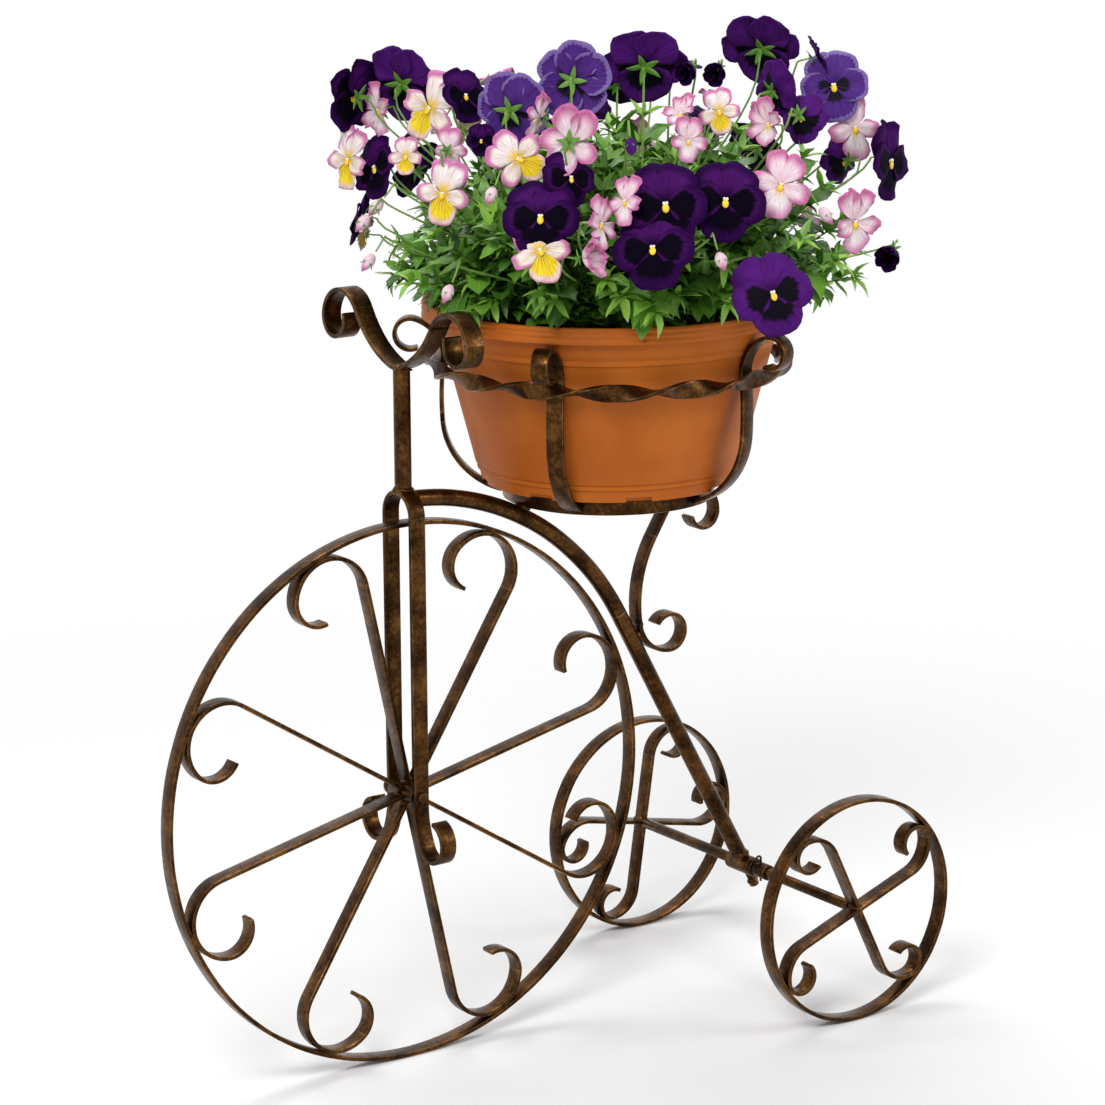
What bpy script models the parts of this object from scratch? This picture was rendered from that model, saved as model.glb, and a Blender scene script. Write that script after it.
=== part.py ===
"""Iron plant stand in the shape of a tricycle, with a pot of pansies and violas.

Metres, +Z up. The front wheel meets the ground at the origin, the stand runs back
along +X, and its left side is towards -Y. Flat strip and round bar are bent to shape
and welded; the front wheel turns on a pin in the fork, the two rear wheels turn
together with their axle, and the pot lifts out of its holder.
"""
import math

import bmesh
import bpy
from mathutils import Matrix, Vector

# Every set of turns below is in degrees: one turn for each bend radius named beside it,
# in the order in which the strip is bent, anticlockwise positive

# Stock that the stand is bent from
STRIP_WIDTH = 0.0130
STRIP_THICKNESS = 0.0032
BAR_DIAMETER = 0.0127
SEAT_GAP = 0.0003
FLATNESS = 0.00045
ROUND_FACETS = 20
WIRE_FACETS = 6
CUT_OVERRUN = 0.004
MERGE_DISTANCE = 0.00001

# Wheels
FRONT_WHEEL_RADIUS = 0.207
REAR_WHEEL_RADIUS = 0.089
WHEELBASE = 0.320
REAR_TRACK = 0.2776
FRONT_RIM_FACETS = 72
REAR_RIM_FACETS = 48

# Front wheel: eight spokes that end in a curl against the rim
SPOKE_COUNT = 8
SPOKE_ANGLE = math.radians(12.5)
SPOKE_BEND_RADIUS = 0.0303
SPOKE_CURL_RADIUS = 0.0195
SPOKE_TURNS = (164, 113)
HUB_DIAMETER = 0.015
PIN_DIAMETER = 0.008
PIN_STICK_OUT = 0.0035
PIN_HEAD_DIAMETER = 0.014
PIN_HEAD_HEIGHT = 0.004
PIN_CHAMFER = 0.0008

# Fork: one strip bent over the wheel, its feet rolled outwards
FORK_SPACING = 0.035
CROWN_CLEARANCE = 0.0205
FOOT_DROP = 0.001
FOOT_BEND_RADIUS = 0.060
FOOT_CURL_RADIUS = 0.0153
FOOT_TURNS = (29, 231)

# Stem and handlebar
STEM_LENGTH = 0.089
HANDLEBAR_WIDTH = 0.0155
HANDLEBAR_DIP_RADIUS = 0.0182
HANDLEBAR_RISE_RADIUS = 0.0805
HANDLEBAR_GRIP_RADIUS = 0.0239
HANDLEBAR_CURL_RADIUS = 0.0142
HANDLEBAR_TURNS = (17, 42, -137, -212)

# Backbone, a round bar that follows the wheel and runs down to the rear axle
BACKBONE_CLEARANCE = 0.0095

# Rear axle, its sleeve and what keeps it in place
AXLE_DIAMETER = 0.0085
SLEEVE_DIAMETER = 0.015
SLEEVE_LENGTH = 0.026
STOP_RING_WIRE = 0.0034
COLLAR_DIAMETER = 0.0125
COLLAR_LENGTH = 0.015
SPLIT_PIN_WIRE = 0.0018
SPLIT_PIN_INSET = 0.0045
SPLIT_PIN_TAIL = 0.003
SPLIT_PIN_EYE_RADIUS = 0.0022
SPLIT_PIN_EYE_TURN = 290
SET_BOLT_DIAMETER = 0.0062
SET_BOLT_BACK_OFF = 0.0008
SET_BOLT_REACH = 0.0100
SET_BOLT_FLANGE_DIAMETER = 0.0092
SET_BOLT_FLANGE_THICKNESS = 0.0016
SET_BOLT_HEAD_DIAMETER = 0.0080
SET_BOLT_HEAD_HEIGHT = 0.0032

# Rear wheels: two scrolled bars cross in each
REAR_BEND_RADIUS = 0.024
REAR_CURL_RADIUS = 0.0122
REAR_TURNS = (80, 213)
LEFT_BAR_ANGLES = (math.radians(20), math.radians(116))
RIGHT_BAR_ANGLES = (math.radians(81.5), math.radians(168.5))

# Pot holder: a base ring, five uprights and a twisted hoop round them
HOLDER_X = 0.186
RING_RADIUS = 0.0807
UPRIGHT_COUNT = 5
UPRIGHT_ANGLE = math.radians(-144)
UPRIGHT_FOOT_RISE = 0.0042
UPRIGHT_LEAN = math.radians(15)
UPRIGHT_FOOT_RADIUS = 0.060
UPRIGHT_LIP_RADIUS = 0.0303
UPRIGHT_CURL_RADIUS = 0.0118
UPRIGHT_TURNS = (72, 9, -79, -224)
UPRIGHT_DROP = 0.0138
HOOP_DROP = 0.0486
HOOP_HALF_TWISTS = 14
HOOP_STEPS_PER_TWIST = 8
HOOP_EDGE_ON_ANGLE = math.radians(-138)

# C-shaped scroll that props the base ring on the backbone
PROP_TOP_CURL_RADIUS = 0.0125
PROP_TOP_ARCH_RADIUS = 0.024
PROP_TOP_TURNS = (170, 148)
PROP_BACK_ANGLE = math.radians(-122)
PROP_BACK_RADIUS = 0.0985
PROP_LOW_ARCH_RADIUS = 0.0289
PROP_LOW_CURL_RADIUS = 0.0142
PROP_LOW_TURNS = (41, 82, 236)
PROP_LONGEST = 0.120
PROP_HALVINGS = 40

# Pot
POT_HEIGHT = 0.1373
POT_RIM_RADIUS = 0.1408
POT_RIM_DEPTH = 0.0121
POT_RIM_RIDGES = 3
POT_RIDGE_DEPTH = 0.0011
POT_NECK_DEPTH = 0.0142
POT_NECK_RADIUS = 0.1330
POT_BODY_RADIUS = 0.1272
POT_BASE_RADIUS = 0.0964
POT_GROOVE = 0.0014
POT_GROOVE_PITCH = 0.0042
POT_BAND_RISE = 0.0093
POT_WALL = 0.0028
POT_FACETS = 36
POT_NOTCHES = 8
POT_NOTCH_WIDTH = 0.020
POT_NOTCH_HEIGHT = 0.0034
POT_NOTCH_DEPTH = 0.0052
SOIL_DROP = 0.014

# Planting: a mound of leaves, and blooms on stems that spread from one root
LEAF_MOUND_RADIUS = 0.168
LEAF_MOUND_HEIGHT = 0.092
LEAF_MOUND_SKIRT = 0.012
LEAF_MOUND_FACETS = 36
LEAF_LUMP_SHARE = 0.035
LEVEL_SHARES = (0.34, 0.56, 0.74, 0.88, 0.97, 1.0)
BLOOM_REACH = 0.212
BLOOM_RISE = 0.196
BLOOM_THROAT = 0.011
BLOOM_CROWN = 0.0015
STEM_DIAMETER = 0.0020
STEM_START = 0.085
PETALS = 5
PETAL_EDGE_SHARES = (0.72, 0.98, 0.98)
SPREAD_ROUNDS = 80
PANSY_DIAMETER = 0.064
VIOLA_DIAMETER = 0.050
BUD_DIAMETER = 0.014

# Each bloom: azimuth and elevation in degrees seen from the root, then shares of
# the planting's reach and of the full size of its kind
BLOOM_SHARES = {
    "dark pansies": (
        (-140, 24, 0.99, 0.88), (-114, 27, 1.00, 0.80), (-100, 27, 1.01, 0.72),
        (-118, 18, 0.99, 0.98), (141, 45, 1.10, 1.00), (142, 38, 1.12, 0.58),
        (-179, 51, 1.00, 0.56), (-28, 58, 1.06, 0.82), (-32, 49, 1.12, 0.40),
        (-58, 50, 1.00, 0.56), (-60, 42, 1.00, 0.35), (-36, 26, 1.09, 0.82),
        (-135, 32, 1.00, 0.55), (-161, 40, 1.00, 0.33), (-88, 61, 1.00, 0.40),
        (-73, 60, 1.00, 0.40), (-39, 9, 1.02, 0.48), (10, 30, 1.00, 0.90),
        (75, 30, 1.00, 0.86), (112, 26, 1.00, 0.80), (50, 52, 1.00, 0.84),
    ),
    "violet pansies": (
        (-93, 8, 1.00, 0.92), (-33, 42, 1.09, 0.68), (-156, 48, 1.00, 0.83),
        (-139, 58, 1.00, 0.88), (-108, 65, 1.00, 0.94), (38, 22, 1.00, 0.80),
        (95, 50, 1.00, 0.82), (-10, 76, 1.00, 0.70),
    ),
    "pink violas": (
        (170, 46, 1.00, 1.00), (141, 39, 1.06, 0.45), (144, 28, 1.05, 0.82),
        (-165, 28, 1.00, 0.86), (-148, 35, 1.00, 0.74), (-146, 46, 1.00, 0.56),
        (-136, 39, 1.00, 0.82), (-140, 16, 1.00, 0.84), (-131, 16, 1.00, 0.62),
        (-128, 23, 1.00, 0.70), (-104, 47, 1.00, 0.56), (-105, 41, 1.00, 0.56),
        (-77, 42, 1.00, 0.58), (-86, 30, 1.00, 1.00), (-122, 27, 1.00, 0.62),
        (-35, 34, 1.06, 0.82), (-63, 19, 1.00, 0.84), (60, 14, 1.00, 0.76),
        (0, 12, 1.00, 0.70), (95, 12, 1.00, 0.72), (125, 62, 1.00, 0.74),
        (25, 66, 1.00, 0.74),
    ),
    "yellow violas": (
        (177, 34, 1.00, 0.44), (-169, 37, 1.00, 0.58), (-92, 47, 1.00, 0.56),
        (15, 45, 1.00, 0.56), (75, 66, 1.00, 0.58), (128, 12, 1.00, 0.56),
    ),
    "flower buds": (
        (173, 20, 1.00, 1.00), (179, 13, 1.00, 1.00), (-158, 10, 1.00, 1.00),
        (-152, 29, 1.00, 1.00), (-120, 41, 1.00, 1.00), (-104, 16, 1.00, 1.00),
        (-75, 23, 1.00, 1.00), (30, 36, 1.00, 1.00), (110, 38, 1.00, 1.00),
    ),
}
BLOOM_DIAMETERS = {
    "dark pansies": PANSY_DIAMETER,
    "violet pansies": PANSY_DIAMETER,
    "pink violas": VIOLA_DIAMETER,
    "yellow violas": VIOLA_DIAMETER,
    "flower buds": BUD_DIAMETER,
}

# Finishes: colour, roughness, metallic
FINISHES = {
    "bronzed iron": ((0.105, 0.058, 0.030), 0.48, 0.75),
    "terracotta plastic": ((0.47, 0.155, 0.045), 0.55, 0.0),
    "potting mix": ((0.030, 0.018, 0.010), 0.95, 0.0),
    "leaves": ((0.065, 0.20, 0.030), 0.55, 0.0),
    "dark pansies": ((0.045, 0.008, 0.110), 0.60, 0.0),
    "violet pansies": ((0.110, 0.025, 0.300), 0.60, 0.0),
    "pink violas": ((0.72, 0.42, 0.60), 0.60, 0.0),
    "yellow violas": ((0.80, 0.60, 0.04), 0.60, 0.0),
    "flower buds": ((0.16, 0.27, 0.08), 0.60, 0.0),
}

SIDE_VIEW = (math.radians(90), 0.0, 0.0)
FRONT_VIEW = (math.radians(90), 0.0, math.radians(90))


def clear_scene():
    for obj in list(bpy.data.objects):
        bpy.data.objects.remove(obj, do_unlink=True)


def make_collection(name):
    collection = bpy.data.collections.new(name)
    bpy.context.scene.collection.children.link(collection)
    return collection


def finish_for(node, finish):
    colour, roughness, metallic = FINISHES[finish]
    material = bpy.data.materials.new(f"{node} {finish}")
    material.use_nodes = True
    shader = material.node_tree.nodes["Principled BSDF"]
    shader.inputs["Base Color"].default_value = (*colour, 1.0)
    shader.inputs["Roughness"].default_value = roughness
    shader.inputs["Metallic"].default_value = metallic
    material.diffuse_color = (*colour, 1.0)
    return material


def place(obj, location=(0.0, 0.0, 0.0), rotation=(0.0, 0.0, 0.0), parent=None):
    obj.parent = parent
    obj.location = location
    obj.rotation_euler = rotation
    return obj


def add_piece(name, data, finish, **where):
    obj = bpy.data.objects.new(name, data)
    STAND.objects.link(obj)
    data.materials.append(finish_for(name, finish))
    return place(obj, **where)


def add_axis(name, location, rotation):
    empty = bpy.data.objects.new(name, None)
    STAND.objects.link(empty)
    return place(empty, location, rotation)


def as_mesh(obj):
    """The same piece as a plain mesh, its modifiers applied and its caps welded."""
    bpy.context.view_layer.update()
    evaluated = obj.evaluated_get(bpy.context.evaluated_depsgraph_get())
    mesh = bpy.data.meshes.new_from_object(evaluated)
    work = bmesh.new()
    work.from_mesh(mesh)
    bmesh.ops.remove_doubles(work, verts=work.verts, dist=MERGE_DISTANCE)
    work.to_mesh(mesh)
    work.free()
    mesh.shade_smooth()
    mesh.set_sharp_from_angle(angle=math.radians(40))
    name = obj.name
    parent, local, world = obj.parent, obj.matrix_local.copy(), obj.matrix_world.copy()
    bpy.data.objects.remove(obj, do_unlink=True)
    solid = bpy.data.objects.new(name, mesh)
    STAND.objects.link(solid)
    solid.parent = parent
    if parent:
        solid.matrix_local = local
    else:
        solid.matrix_world = world
    return solid


def combine(obj, other, operation="DIFFERENCE"):
    """The piece after a Boolean with the other shape, by default cut by it."""
    bpy.context.view_layer.update()
    modifier = obj.modifiers.new("boolean", "BOOLEAN")
    modifier.operation = operation
    modifier.solver = "EXACT"
    modifier.object = other
    return as_mesh(obj)


def rod_cutter(name, radius, start, end, **where):
    """A round cutter along its own Z, from start to end, with its flats at the radius."""
    mesh = bpy.data.meshes.new(name)
    work = bmesh.new()
    bmesh.ops.create_cone(
        work,
        cap_ends=True,
        segments=ROUND_FACETS,
        radius1=radius / math.cos(math.pi / ROUND_FACETS),
        radius2=radius / math.cos(math.pi / ROUND_FACETS),
        depth=end - start,
        matrix=Matrix.Translation((0.0, 0.0, (start + end) / 2)),
    )
    work.to_mesh(mesh)
    work.free()
    return add_cutter(name, mesh, **where)


def add_cutter(name, mesh, **where):
    cutter = bpy.data.objects.new(name, mesh)
    CUTTERS.objects.link(cutter)
    cutter.hide_render = True
    cutter.display_type = "WIRE"
    return place(cutter, **where)


def bent_path(start, heading, runs):
    """Points and headings of a bent strip, its runs (length, 0) or (bend radius, turn in degrees)."""
    point = Vector(start)
    path = [(point.copy(), heading)]
    for size, turn in runs:
        if turn == 0:
            point = point + size * Vector((math.cos(heading), math.sin(heading)))
            path.append((point.copy(), heading))
            continue
        side = math.copysign(1.0, turn)
        centre = point + side * size * Vector((-math.sin(heading), math.cos(heading)))
        turn_angle = math.radians(turn)
        step = 2 * math.acos(1 - FLATNESS / size)
        count = max(2, math.ceil(abs(turn_angle) / step))
        for index in range(1, count + 1):
            now = heading + turn_angle * index / count
            point = centre - side * size * Vector((-math.sin(now), math.cos(now)))
            path.append((point.copy(), now))
        heading += turn_angle
    return path


def mirrored(path):
    return [(Vector((-point.x, point.y)), -heading) for point, heading in reversed(path)]


def half_turned(path):
    return [(-point, heading) for point, heading in reversed(path)]


def straight_to_reach(start, runs, reach):
    """Length of straight that makes the bends after it just come out to the reach."""
    bends = bent_path((0.0, 0.0), 0.0, runs)
    lengths = [math.sqrt(reach ** 2 - point.y ** 2) - point.x for point, _ in bends]
    return min(lengths) - start


def strip_outline(path, thickness):
    half = thickness / 2
    left = [point + half * Vector((-math.sin(now), math.cos(now))) for point, now in path]
    right = [point - half * Vector((-math.sin(now), math.cos(now))) for point, now in path]
    return right + left[::-1]


def bent_strip(name, path, width=STRIP_WIDTH, finish="bronzed iron", **where):
    """A flat strip that lies on edge in its own XY plane and follows a path there."""
    curve = bpy.data.curves.new(name, "CURVE")
    curve.dimensions = "2D"
    curve.fill_mode = "BOTH"
    curve.extrude = width / 2
    outline = strip_outline(path, STRIP_THICKNESS)
    spline = curve.splines.new("POLY")
    spline.points.add(len(outline) - 1)
    for control, point in zip(spline.points, outline):
        control.co = (point.x, point.y, 0.0, 1.0)
    spline.use_cyclic_u = True
    return as_mesh(add_piece(name, curve, finish, **where))


def round_bar(name, points, diameter, sides=2, finish="bronzed iron", **where):
    """A round bar along a line of points, with closed ends."""
    curve = bpy.data.curves.new(name, "CURVE")
    curve.dimensions = "3D"
    curve.bevel_depth = diameter / 2
    curve.bevel_resolution = sides
    curve.use_fill_caps = True
    spline = curve.splines.new("POLY")
    spline.points.add(len(points) - 1)
    for control, point in zip(spline.points, points):
        control.co = (*point, 1.0)
    return as_mesh(add_piece(name, curve, finish, **where))


def turned(name, profile, facets, closed=False, finish="bronzed iron", **where):
    """A profile of (radius, height) points, outer side first and from the top, spun about Z."""
    mesh = bpy.data.meshes.new(name)
    vertices = [(radius, 0.0, height) for radius, height in profile]
    edges = [(index, index + 1) for index in range(len(profile) - 1)]
    if closed:
        edges.append((len(profile) - 1, 0))
    mesh.from_pydata(vertices, edges, [])
    obj = add_piece(name, mesh, finish, **where)
    screw = obj.modifiers.new("spin", "SCREW")
    screw.axis = "Z"
    screw.steps = facets
    screw.render_steps = facets
    screw.use_merge_vertices = True
    screw.merge_threshold = MERGE_DISTANCE
    return as_mesh(obj)


def tube(name, outer, inner, low, high, facets, **where):
    profile = [(outer, high), (outer, low), (inner, low), (inner, high)]
    return turned(name, profile, facets, closed=True, **where)


def wheel_rim(name, radius, facets, offset, parent):
    """A strip rolled into a hoop, with a flat of the hoop turned to the ground."""
    swell = 1 / math.cos(math.pi / facets)
    return tube(
        name,
        radius * swell,
        (radius - STRIP_THICKNESS) * swell,
        offset - STRIP_WIDTH / 2,
        offset + STRIP_WIDTH / 2,
        facets,
        rotation=(0.0, 0.0, math.pi / facets),
        parent=parent,
    )


# Sizes that follow from the driving ones
bar_radius = BAR_DIAMETER / 2
half_strip = STRIP_WIDTH / 2
half_thickness = STRIP_THICKNESS / 2
axle_radius = AXLE_DIAMETER / 2
sleeve_radius = SLEEVE_DIAMETER / 2
fork_leg = FORK_SPACING / 2
crown_height = 2 * FRONT_WHEEL_RADIUS + CROWN_CLEARANCE + half_thickness
stem_foot = crown_height + half_thickness + SEAT_GAP
stem_top = stem_foot + STEM_LENGTH
backbone_radius = FRONT_WHEEL_RADIUS + BACKBONE_CLEARANCE + bar_radius
ring_left = HOLDER_X - RING_RADIUS
backbone_outside = backbone_radius + bar_radius
ring_foot = FRONT_WHEEL_RADIUS + math.sqrt(backbone_outside ** 2 - ring_left ** 2) + SEAT_GAP
pot_foot = ring_foot + STRIP_WIDTH + SEAT_GAP
pot_top = pot_foot + POT_HEIGHT
axle_reach = REAR_TRACK / 2 - half_strip - SEAT_GAP
to_axle = Vector((WHEELBASE, REAR_WHEEL_RADIUS - FRONT_WHEEL_RADIUS))
leave_angle = math.atan2(to_axle.y, to_axle.x) + math.acos(backbone_radius / to_axle.length)
tail_length = math.sqrt(to_axle.length ** 2 - backbone_radius ** 2)
tail_direction = Vector((math.sin(leave_angle), -math.cos(leave_angle)))


def build_front_wheel():
    axis = add_axis("front_wheel_axis", (0.0, 0.0, FRONT_WHEEL_RADIUS), SIDE_VIEW)
    wheel_rim("front_rim", FRONT_WHEEL_RADIUS, FRONT_RIM_FACETS, 0.0, axis)
    hub_radius = HUB_DIAMETER / 2
    hub_half = fork_leg - half_thickness - SEAT_GAP
    bore = PIN_DIAMETER / 2 + SEAT_GAP
    tube("front_hub", hub_radius, bore, -hub_half, hub_half, ROUND_FACETS, parent=axis)
    start = hub_radius + SEAT_GAP
    reach = FRONT_WHEEL_RADIUS - STRIP_THICKNESS - SEAT_GAP - half_thickness
    bends = tuple(zip((SPOKE_BEND_RADIUS, SPOKE_CURL_RADIUS), SPOKE_TURNS))
    straight = straight_to_reach(start, bends, reach)
    path = bent_path((start, 0.0), 0.0, ((straight, 0), *bends))
    for index in range(SPOKE_COUNT):
        angle = SPOKE_ANGLE + 2 * math.pi * index / SPOKE_COUNT
        bent_strip(f"front_spoke_{index + 1}", path, rotation=(0.0, 0.0, angle), parent=axis)


def build_fork():
    hub = FRONT_WHEEL_RADIUS
    leg_length = crown_height - fork_leg - hub + PIN_HEAD_DIAMETER / 2 + FOOT_DROP
    foot = tuple(zip((FOOT_BEND_RADIUS, FOOT_CURL_RADIUS), FOOT_TURNS))
    half = bent_path((0.0, crown_height), 0.0, ((fork_leg, -90), (leg_length, 0), *foot))
    fork = bent_strip("fork", mirrored(half)[:-1] + half, rotation=FRONT_VIEW)
    pin_radius = PIN_DIAMETER / 2
    across = fork_leg + half_thickness + CUT_OVERRUN
    hole = rod_cutter("fork_pin_hole", pin_radius + SEAT_GAP, -across, across,
                      location=(0.0, 0.0, hub), rotation=SIDE_VIEW)
    combine(fork, hole)
    near = fork_leg + half_thickness + PIN_STICK_OUT
    far = -fork_leg - half_thickness - SEAT_GAP
    head = PIN_HEAD_DIAMETER / 2
    profile = [
        (0.0, near),
        (pin_radius - PIN_CHAMFER, near),
        (pin_radius, near - PIN_CHAMFER),
        (pin_radius, far),
        (head, far),
        (head, far - PIN_HEAD_HEIGHT + PIN_CHAMFER),
        (head - PIN_CHAMFER, far - PIN_HEAD_HEIGHT),
        (0.0, far - PIN_HEAD_HEIGHT),
    ]
    turned("front_wheel_pin", profile, ROUND_FACETS, location=(0.0, 0.0, hub), rotation=SIDE_VIEW)


def build_stem_and_handlebar():
    round_bar("stem", [(0.0, 0.0, stem_foot), (0.0, 0.0, stem_top)], BAR_DIAMETER, sides=6)
    seat = stem_top + SEAT_GAP + half_thickness
    radii = (HANDLEBAR_DIP_RADIUS, HANDLEBAR_RISE_RADIUS, HANDLEBAR_GRIP_RADIUS, HANDLEBAR_CURL_RADIUS)
    half = bent_path((0.0, seat), 0.0, tuple(zip(radii, HANDLEBAR_TURNS)))
    bent_strip("handlebar", mirrored(half)[:-1] + half, width=HANDLEBAR_WIDTH, rotation=FRONT_VIEW)


def build_backbone():
    start_angle = math.acos((half_strip + SEAT_GAP) / backbone_radius)
    start = (
        backbone_radius * math.cos(start_angle),
        FRONT_WHEEL_RADIUS + backbone_radius * math.sin(start_angle),
    )
    sweep = math.degrees(leave_angle - start_angle)
    path = bent_path(start, start_angle - math.pi / 2, ((backbone_radius, sweep), (tail_length, 0)))
    bar = round_bar("backbone", [(point.x, 0.0, point.y) for point, _ in path], BAR_DIAMETER, sides=4)
    mouth = rod_cutter("backbone_mouth", sleeve_radius + SEAT_GAP, -SLEEVE_LENGTH, SLEEVE_LENGTH,
                       location=(WHEELBASE, 0.0, REAR_WHEEL_RADIUS), rotation=SIDE_VIEW)
    combine(bar, mouth)


def build_rear_joint(axis):
    half_sleeve = SLEEVE_LENGTH / 2
    bore = axle_radius + SEAT_GAP
    sleeve = tube("rear_sleeve", sleeve_radius, bore, -half_sleeve, half_sleeve, ROUND_FACETS,
                  location=(WHEELBASE, 0.0, REAR_WHEEL_RADIUS), rotation=SIDE_VIEW)
    bolt_turn = (0.0, math.atan2(tail_direction.x, tail_direction.y), 0.0)
    bolt_place = {"location": (WHEELBASE, 0.0, REAR_WHEEL_RADIUS), "rotation": bolt_turn}
    bolt_radius = SET_BOLT_DIAMETER / 2
    hole = rod_cutter("set_bolt_hole", bolt_radius + SEAT_GAP, 0.0,
                      sleeve_radius + CUT_OVERRUN, **bolt_place)
    combine(sleeve, hole)
    tip = axle_radius + SET_BOLT_BACK_OFF
    neck = sleeve_radius + SET_BOLT_REACH
    flange_radius = SET_BOLT_FLANGE_DIAMETER / 2
    head_radius = SET_BOLT_HEAD_DIAMETER / 2
    flange_end = neck + SET_BOLT_FLANGE_THICKNESS
    head_end = flange_end + SET_BOLT_HEAD_HEIGHT
    profile = [
        (0.0, head_end),
        (head_radius, head_end),
        (head_radius, flange_end),
        (flange_radius, flange_end),
        (flange_radius, neck),
        (bolt_radius, neck),
        (bolt_radius, tip),
        (0.0, tip),
    ]
    turned("set_bolt", profile, ROUND_FACETS, **bolt_place)

    wire = STOP_RING_WIRE / 2
    ring_middle = bore + wire
    ring_seat = half_sleeve + SEAT_GAP + wire
    for name, offset in (("stop_ring_left", ring_seat), ("stop_ring_right", -ring_seat)):
        turns = [2 * math.pi * index / WIRE_FACETS for index in range(WIRE_FACETS)]
        section = [
            (ring_middle + wire * math.cos(turn), offset - wire * math.sin(turn)) for turn in turns
        ]
        turned(name, section, ROUND_FACETS, closed=True, parent=axis)

    collar_low = ring_seat + wire + SEAT_GAP
    collar_high = collar_low + COLLAR_LENGTH
    collar_radius = COLLAR_DIAMETER / 2
    collar = tube("axle_collar", collar_radius, bore, collar_low, collar_high, ROUND_FACETS, parent=axis)
    axle = round_bar("rear_axle", [(0.0, 0.0, -axle_reach), (0.0, 0.0, axle_reach)],
                     AXLE_DIAMETER, sides=4, parent=axis)
    pin_place = collar_low + SPLIT_PIN_INSET
    pin_radius = SPLIT_PIN_WIRE / 2
    pin_low = -collar_radius - SPLIT_PIN_TAIL
    pin_high = collar_radius + pin_radius + SPLIT_PIN_EYE_RADIUS + SEAT_GAP
    upright = (math.radians(-90), 0.0, 0.0)
    pin_hole = rod_cutter("split_pin_hole", pin_radius + SEAT_GAP, -COLLAR_DIAMETER, COLLAR_DIAMETER,
                          location=(0.0, 0.0, pin_place), rotation=upright, parent=axis)
    combine(collar, pin_hole)
    combine(axle, pin_hole)
    runs = ((pin_high - pin_low, 0), (SPLIT_PIN_EYE_RADIUS, SPLIT_PIN_EYE_TURN))
    path = bent_path((0.0, pin_low), math.radians(90), runs)
    points = [(point.x, point.y, pin_place) for point, _ in path]
    round_bar("split_pin", points, SPLIT_PIN_WIRE, sides=2, parent=axis)


def scroll_arm(start, side):
    reach = REAR_WHEEL_RADIUS - STRIP_THICKNESS - SEAT_GAP - half_thickness
    radii = (REAR_BEND_RADIUS, REAR_CURL_RADIUS)
    bends = tuple((radius, side * turn) for radius, turn in zip(radii, REAR_TURNS))
    straight = straight_to_reach(start, bends, reach)
    return bent_path((start, 0.0), 0.0, ((straight, 0), *bends))


def build_rear_wheel(side_name, offset, angles, curl_sides, axis):
    wheel_rim(f"{side_name}_rim", REAR_WHEEL_RADIUS, REAR_RIM_FACETS, offset, axis)
    arm = scroll_arm(0.0, curl_sides[0])
    bent_strip(f"{side_name}_scroll_bar", half_turned(arm)[:-1] + arm,
               location=(0.0, 0.0, offset), rotation=(0.0, 0.0, angles[0]), parent=axis)
    short_arm = scroll_arm(half_thickness + SEAT_GAP, curl_sides[1])
    for name, turn in (("upper", 0.0), ("lower", math.pi)):
        bent_strip(f"{side_name}_scroll_arm_{name}", short_arm,
                   location=(0.0, 0.0, offset), rotation=(0.0, 0.0, angles[1] + turn), parent=axis)


def build_rear_wheels():
    axis = add_axis("rear_axle_axis", (WHEELBASE, 0.0, REAR_WHEEL_RADIUS), SIDE_VIEW)
    build_rear_joint(axis)
    build_rear_wheel("left", REAR_TRACK / 2, LEFT_BAR_ANGLES, (1, 1), axis)
    build_rear_wheel("right", -REAR_TRACK / 2, RIGHT_BAR_ANGLES, (-1, 1), axis)


def upright_path(wall_radius):
    """An upright from the base ring up to its curl, its wall bent to a radius."""
    end_lean = half_thickness * math.sin(UPRIGHT_LEAN)
    start = (RING_RADIUS + SEAT_GAP + end_lean, ring_foot + UPRIGHT_FOOT_RISE)
    radii = (UPRIGHT_FOOT_RADIUS, wall_radius, UPRIGHT_LIP_RADIUS, UPRIGHT_CURL_RADIUS)
    return bent_path(start, UPRIGHT_LEAN, tuple(zip(radii, UPRIGHT_TURNS)))


def upright_top(wall_radius):
    return max(point.y for point, _ in upright_path(wall_radius)) + half_thickness


def fitted_wall_radius():
    """Bend radius of an upright's wall that ends its curl just below the pot's rim."""
    first, second = POT_BODY_RADIUS, 2 * POT_BODY_RADIUS
    rise = (upright_top(second) - upright_top(first)) / (second - first)
    return first + (pot_top - UPRIGHT_DROP - upright_top(first)) / rise


def build_holder():
    inner = RING_RADIUS - STRIP_THICKNESS
    tube("base_ring", RING_RADIUS, inner, ring_foot, ring_foot + STRIP_WIDTH, REAR_RIM_FACETS,
         location=(HOLDER_X, 0.0, 0.0))
    path = upright_path(fitted_wall_radius())
    for index in range(UPRIGHT_COUNT):
        angle = UPRIGHT_ANGLE + 2 * math.pi * index / UPRIGHT_COUNT
        bent_strip(f"holder_upright_{index + 1}", path, location=(HOLDER_X, 0.0, 0.0),
                   rotation=(math.radians(90), 0.0, angle))
    build_twisted_hoop(path)


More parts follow.
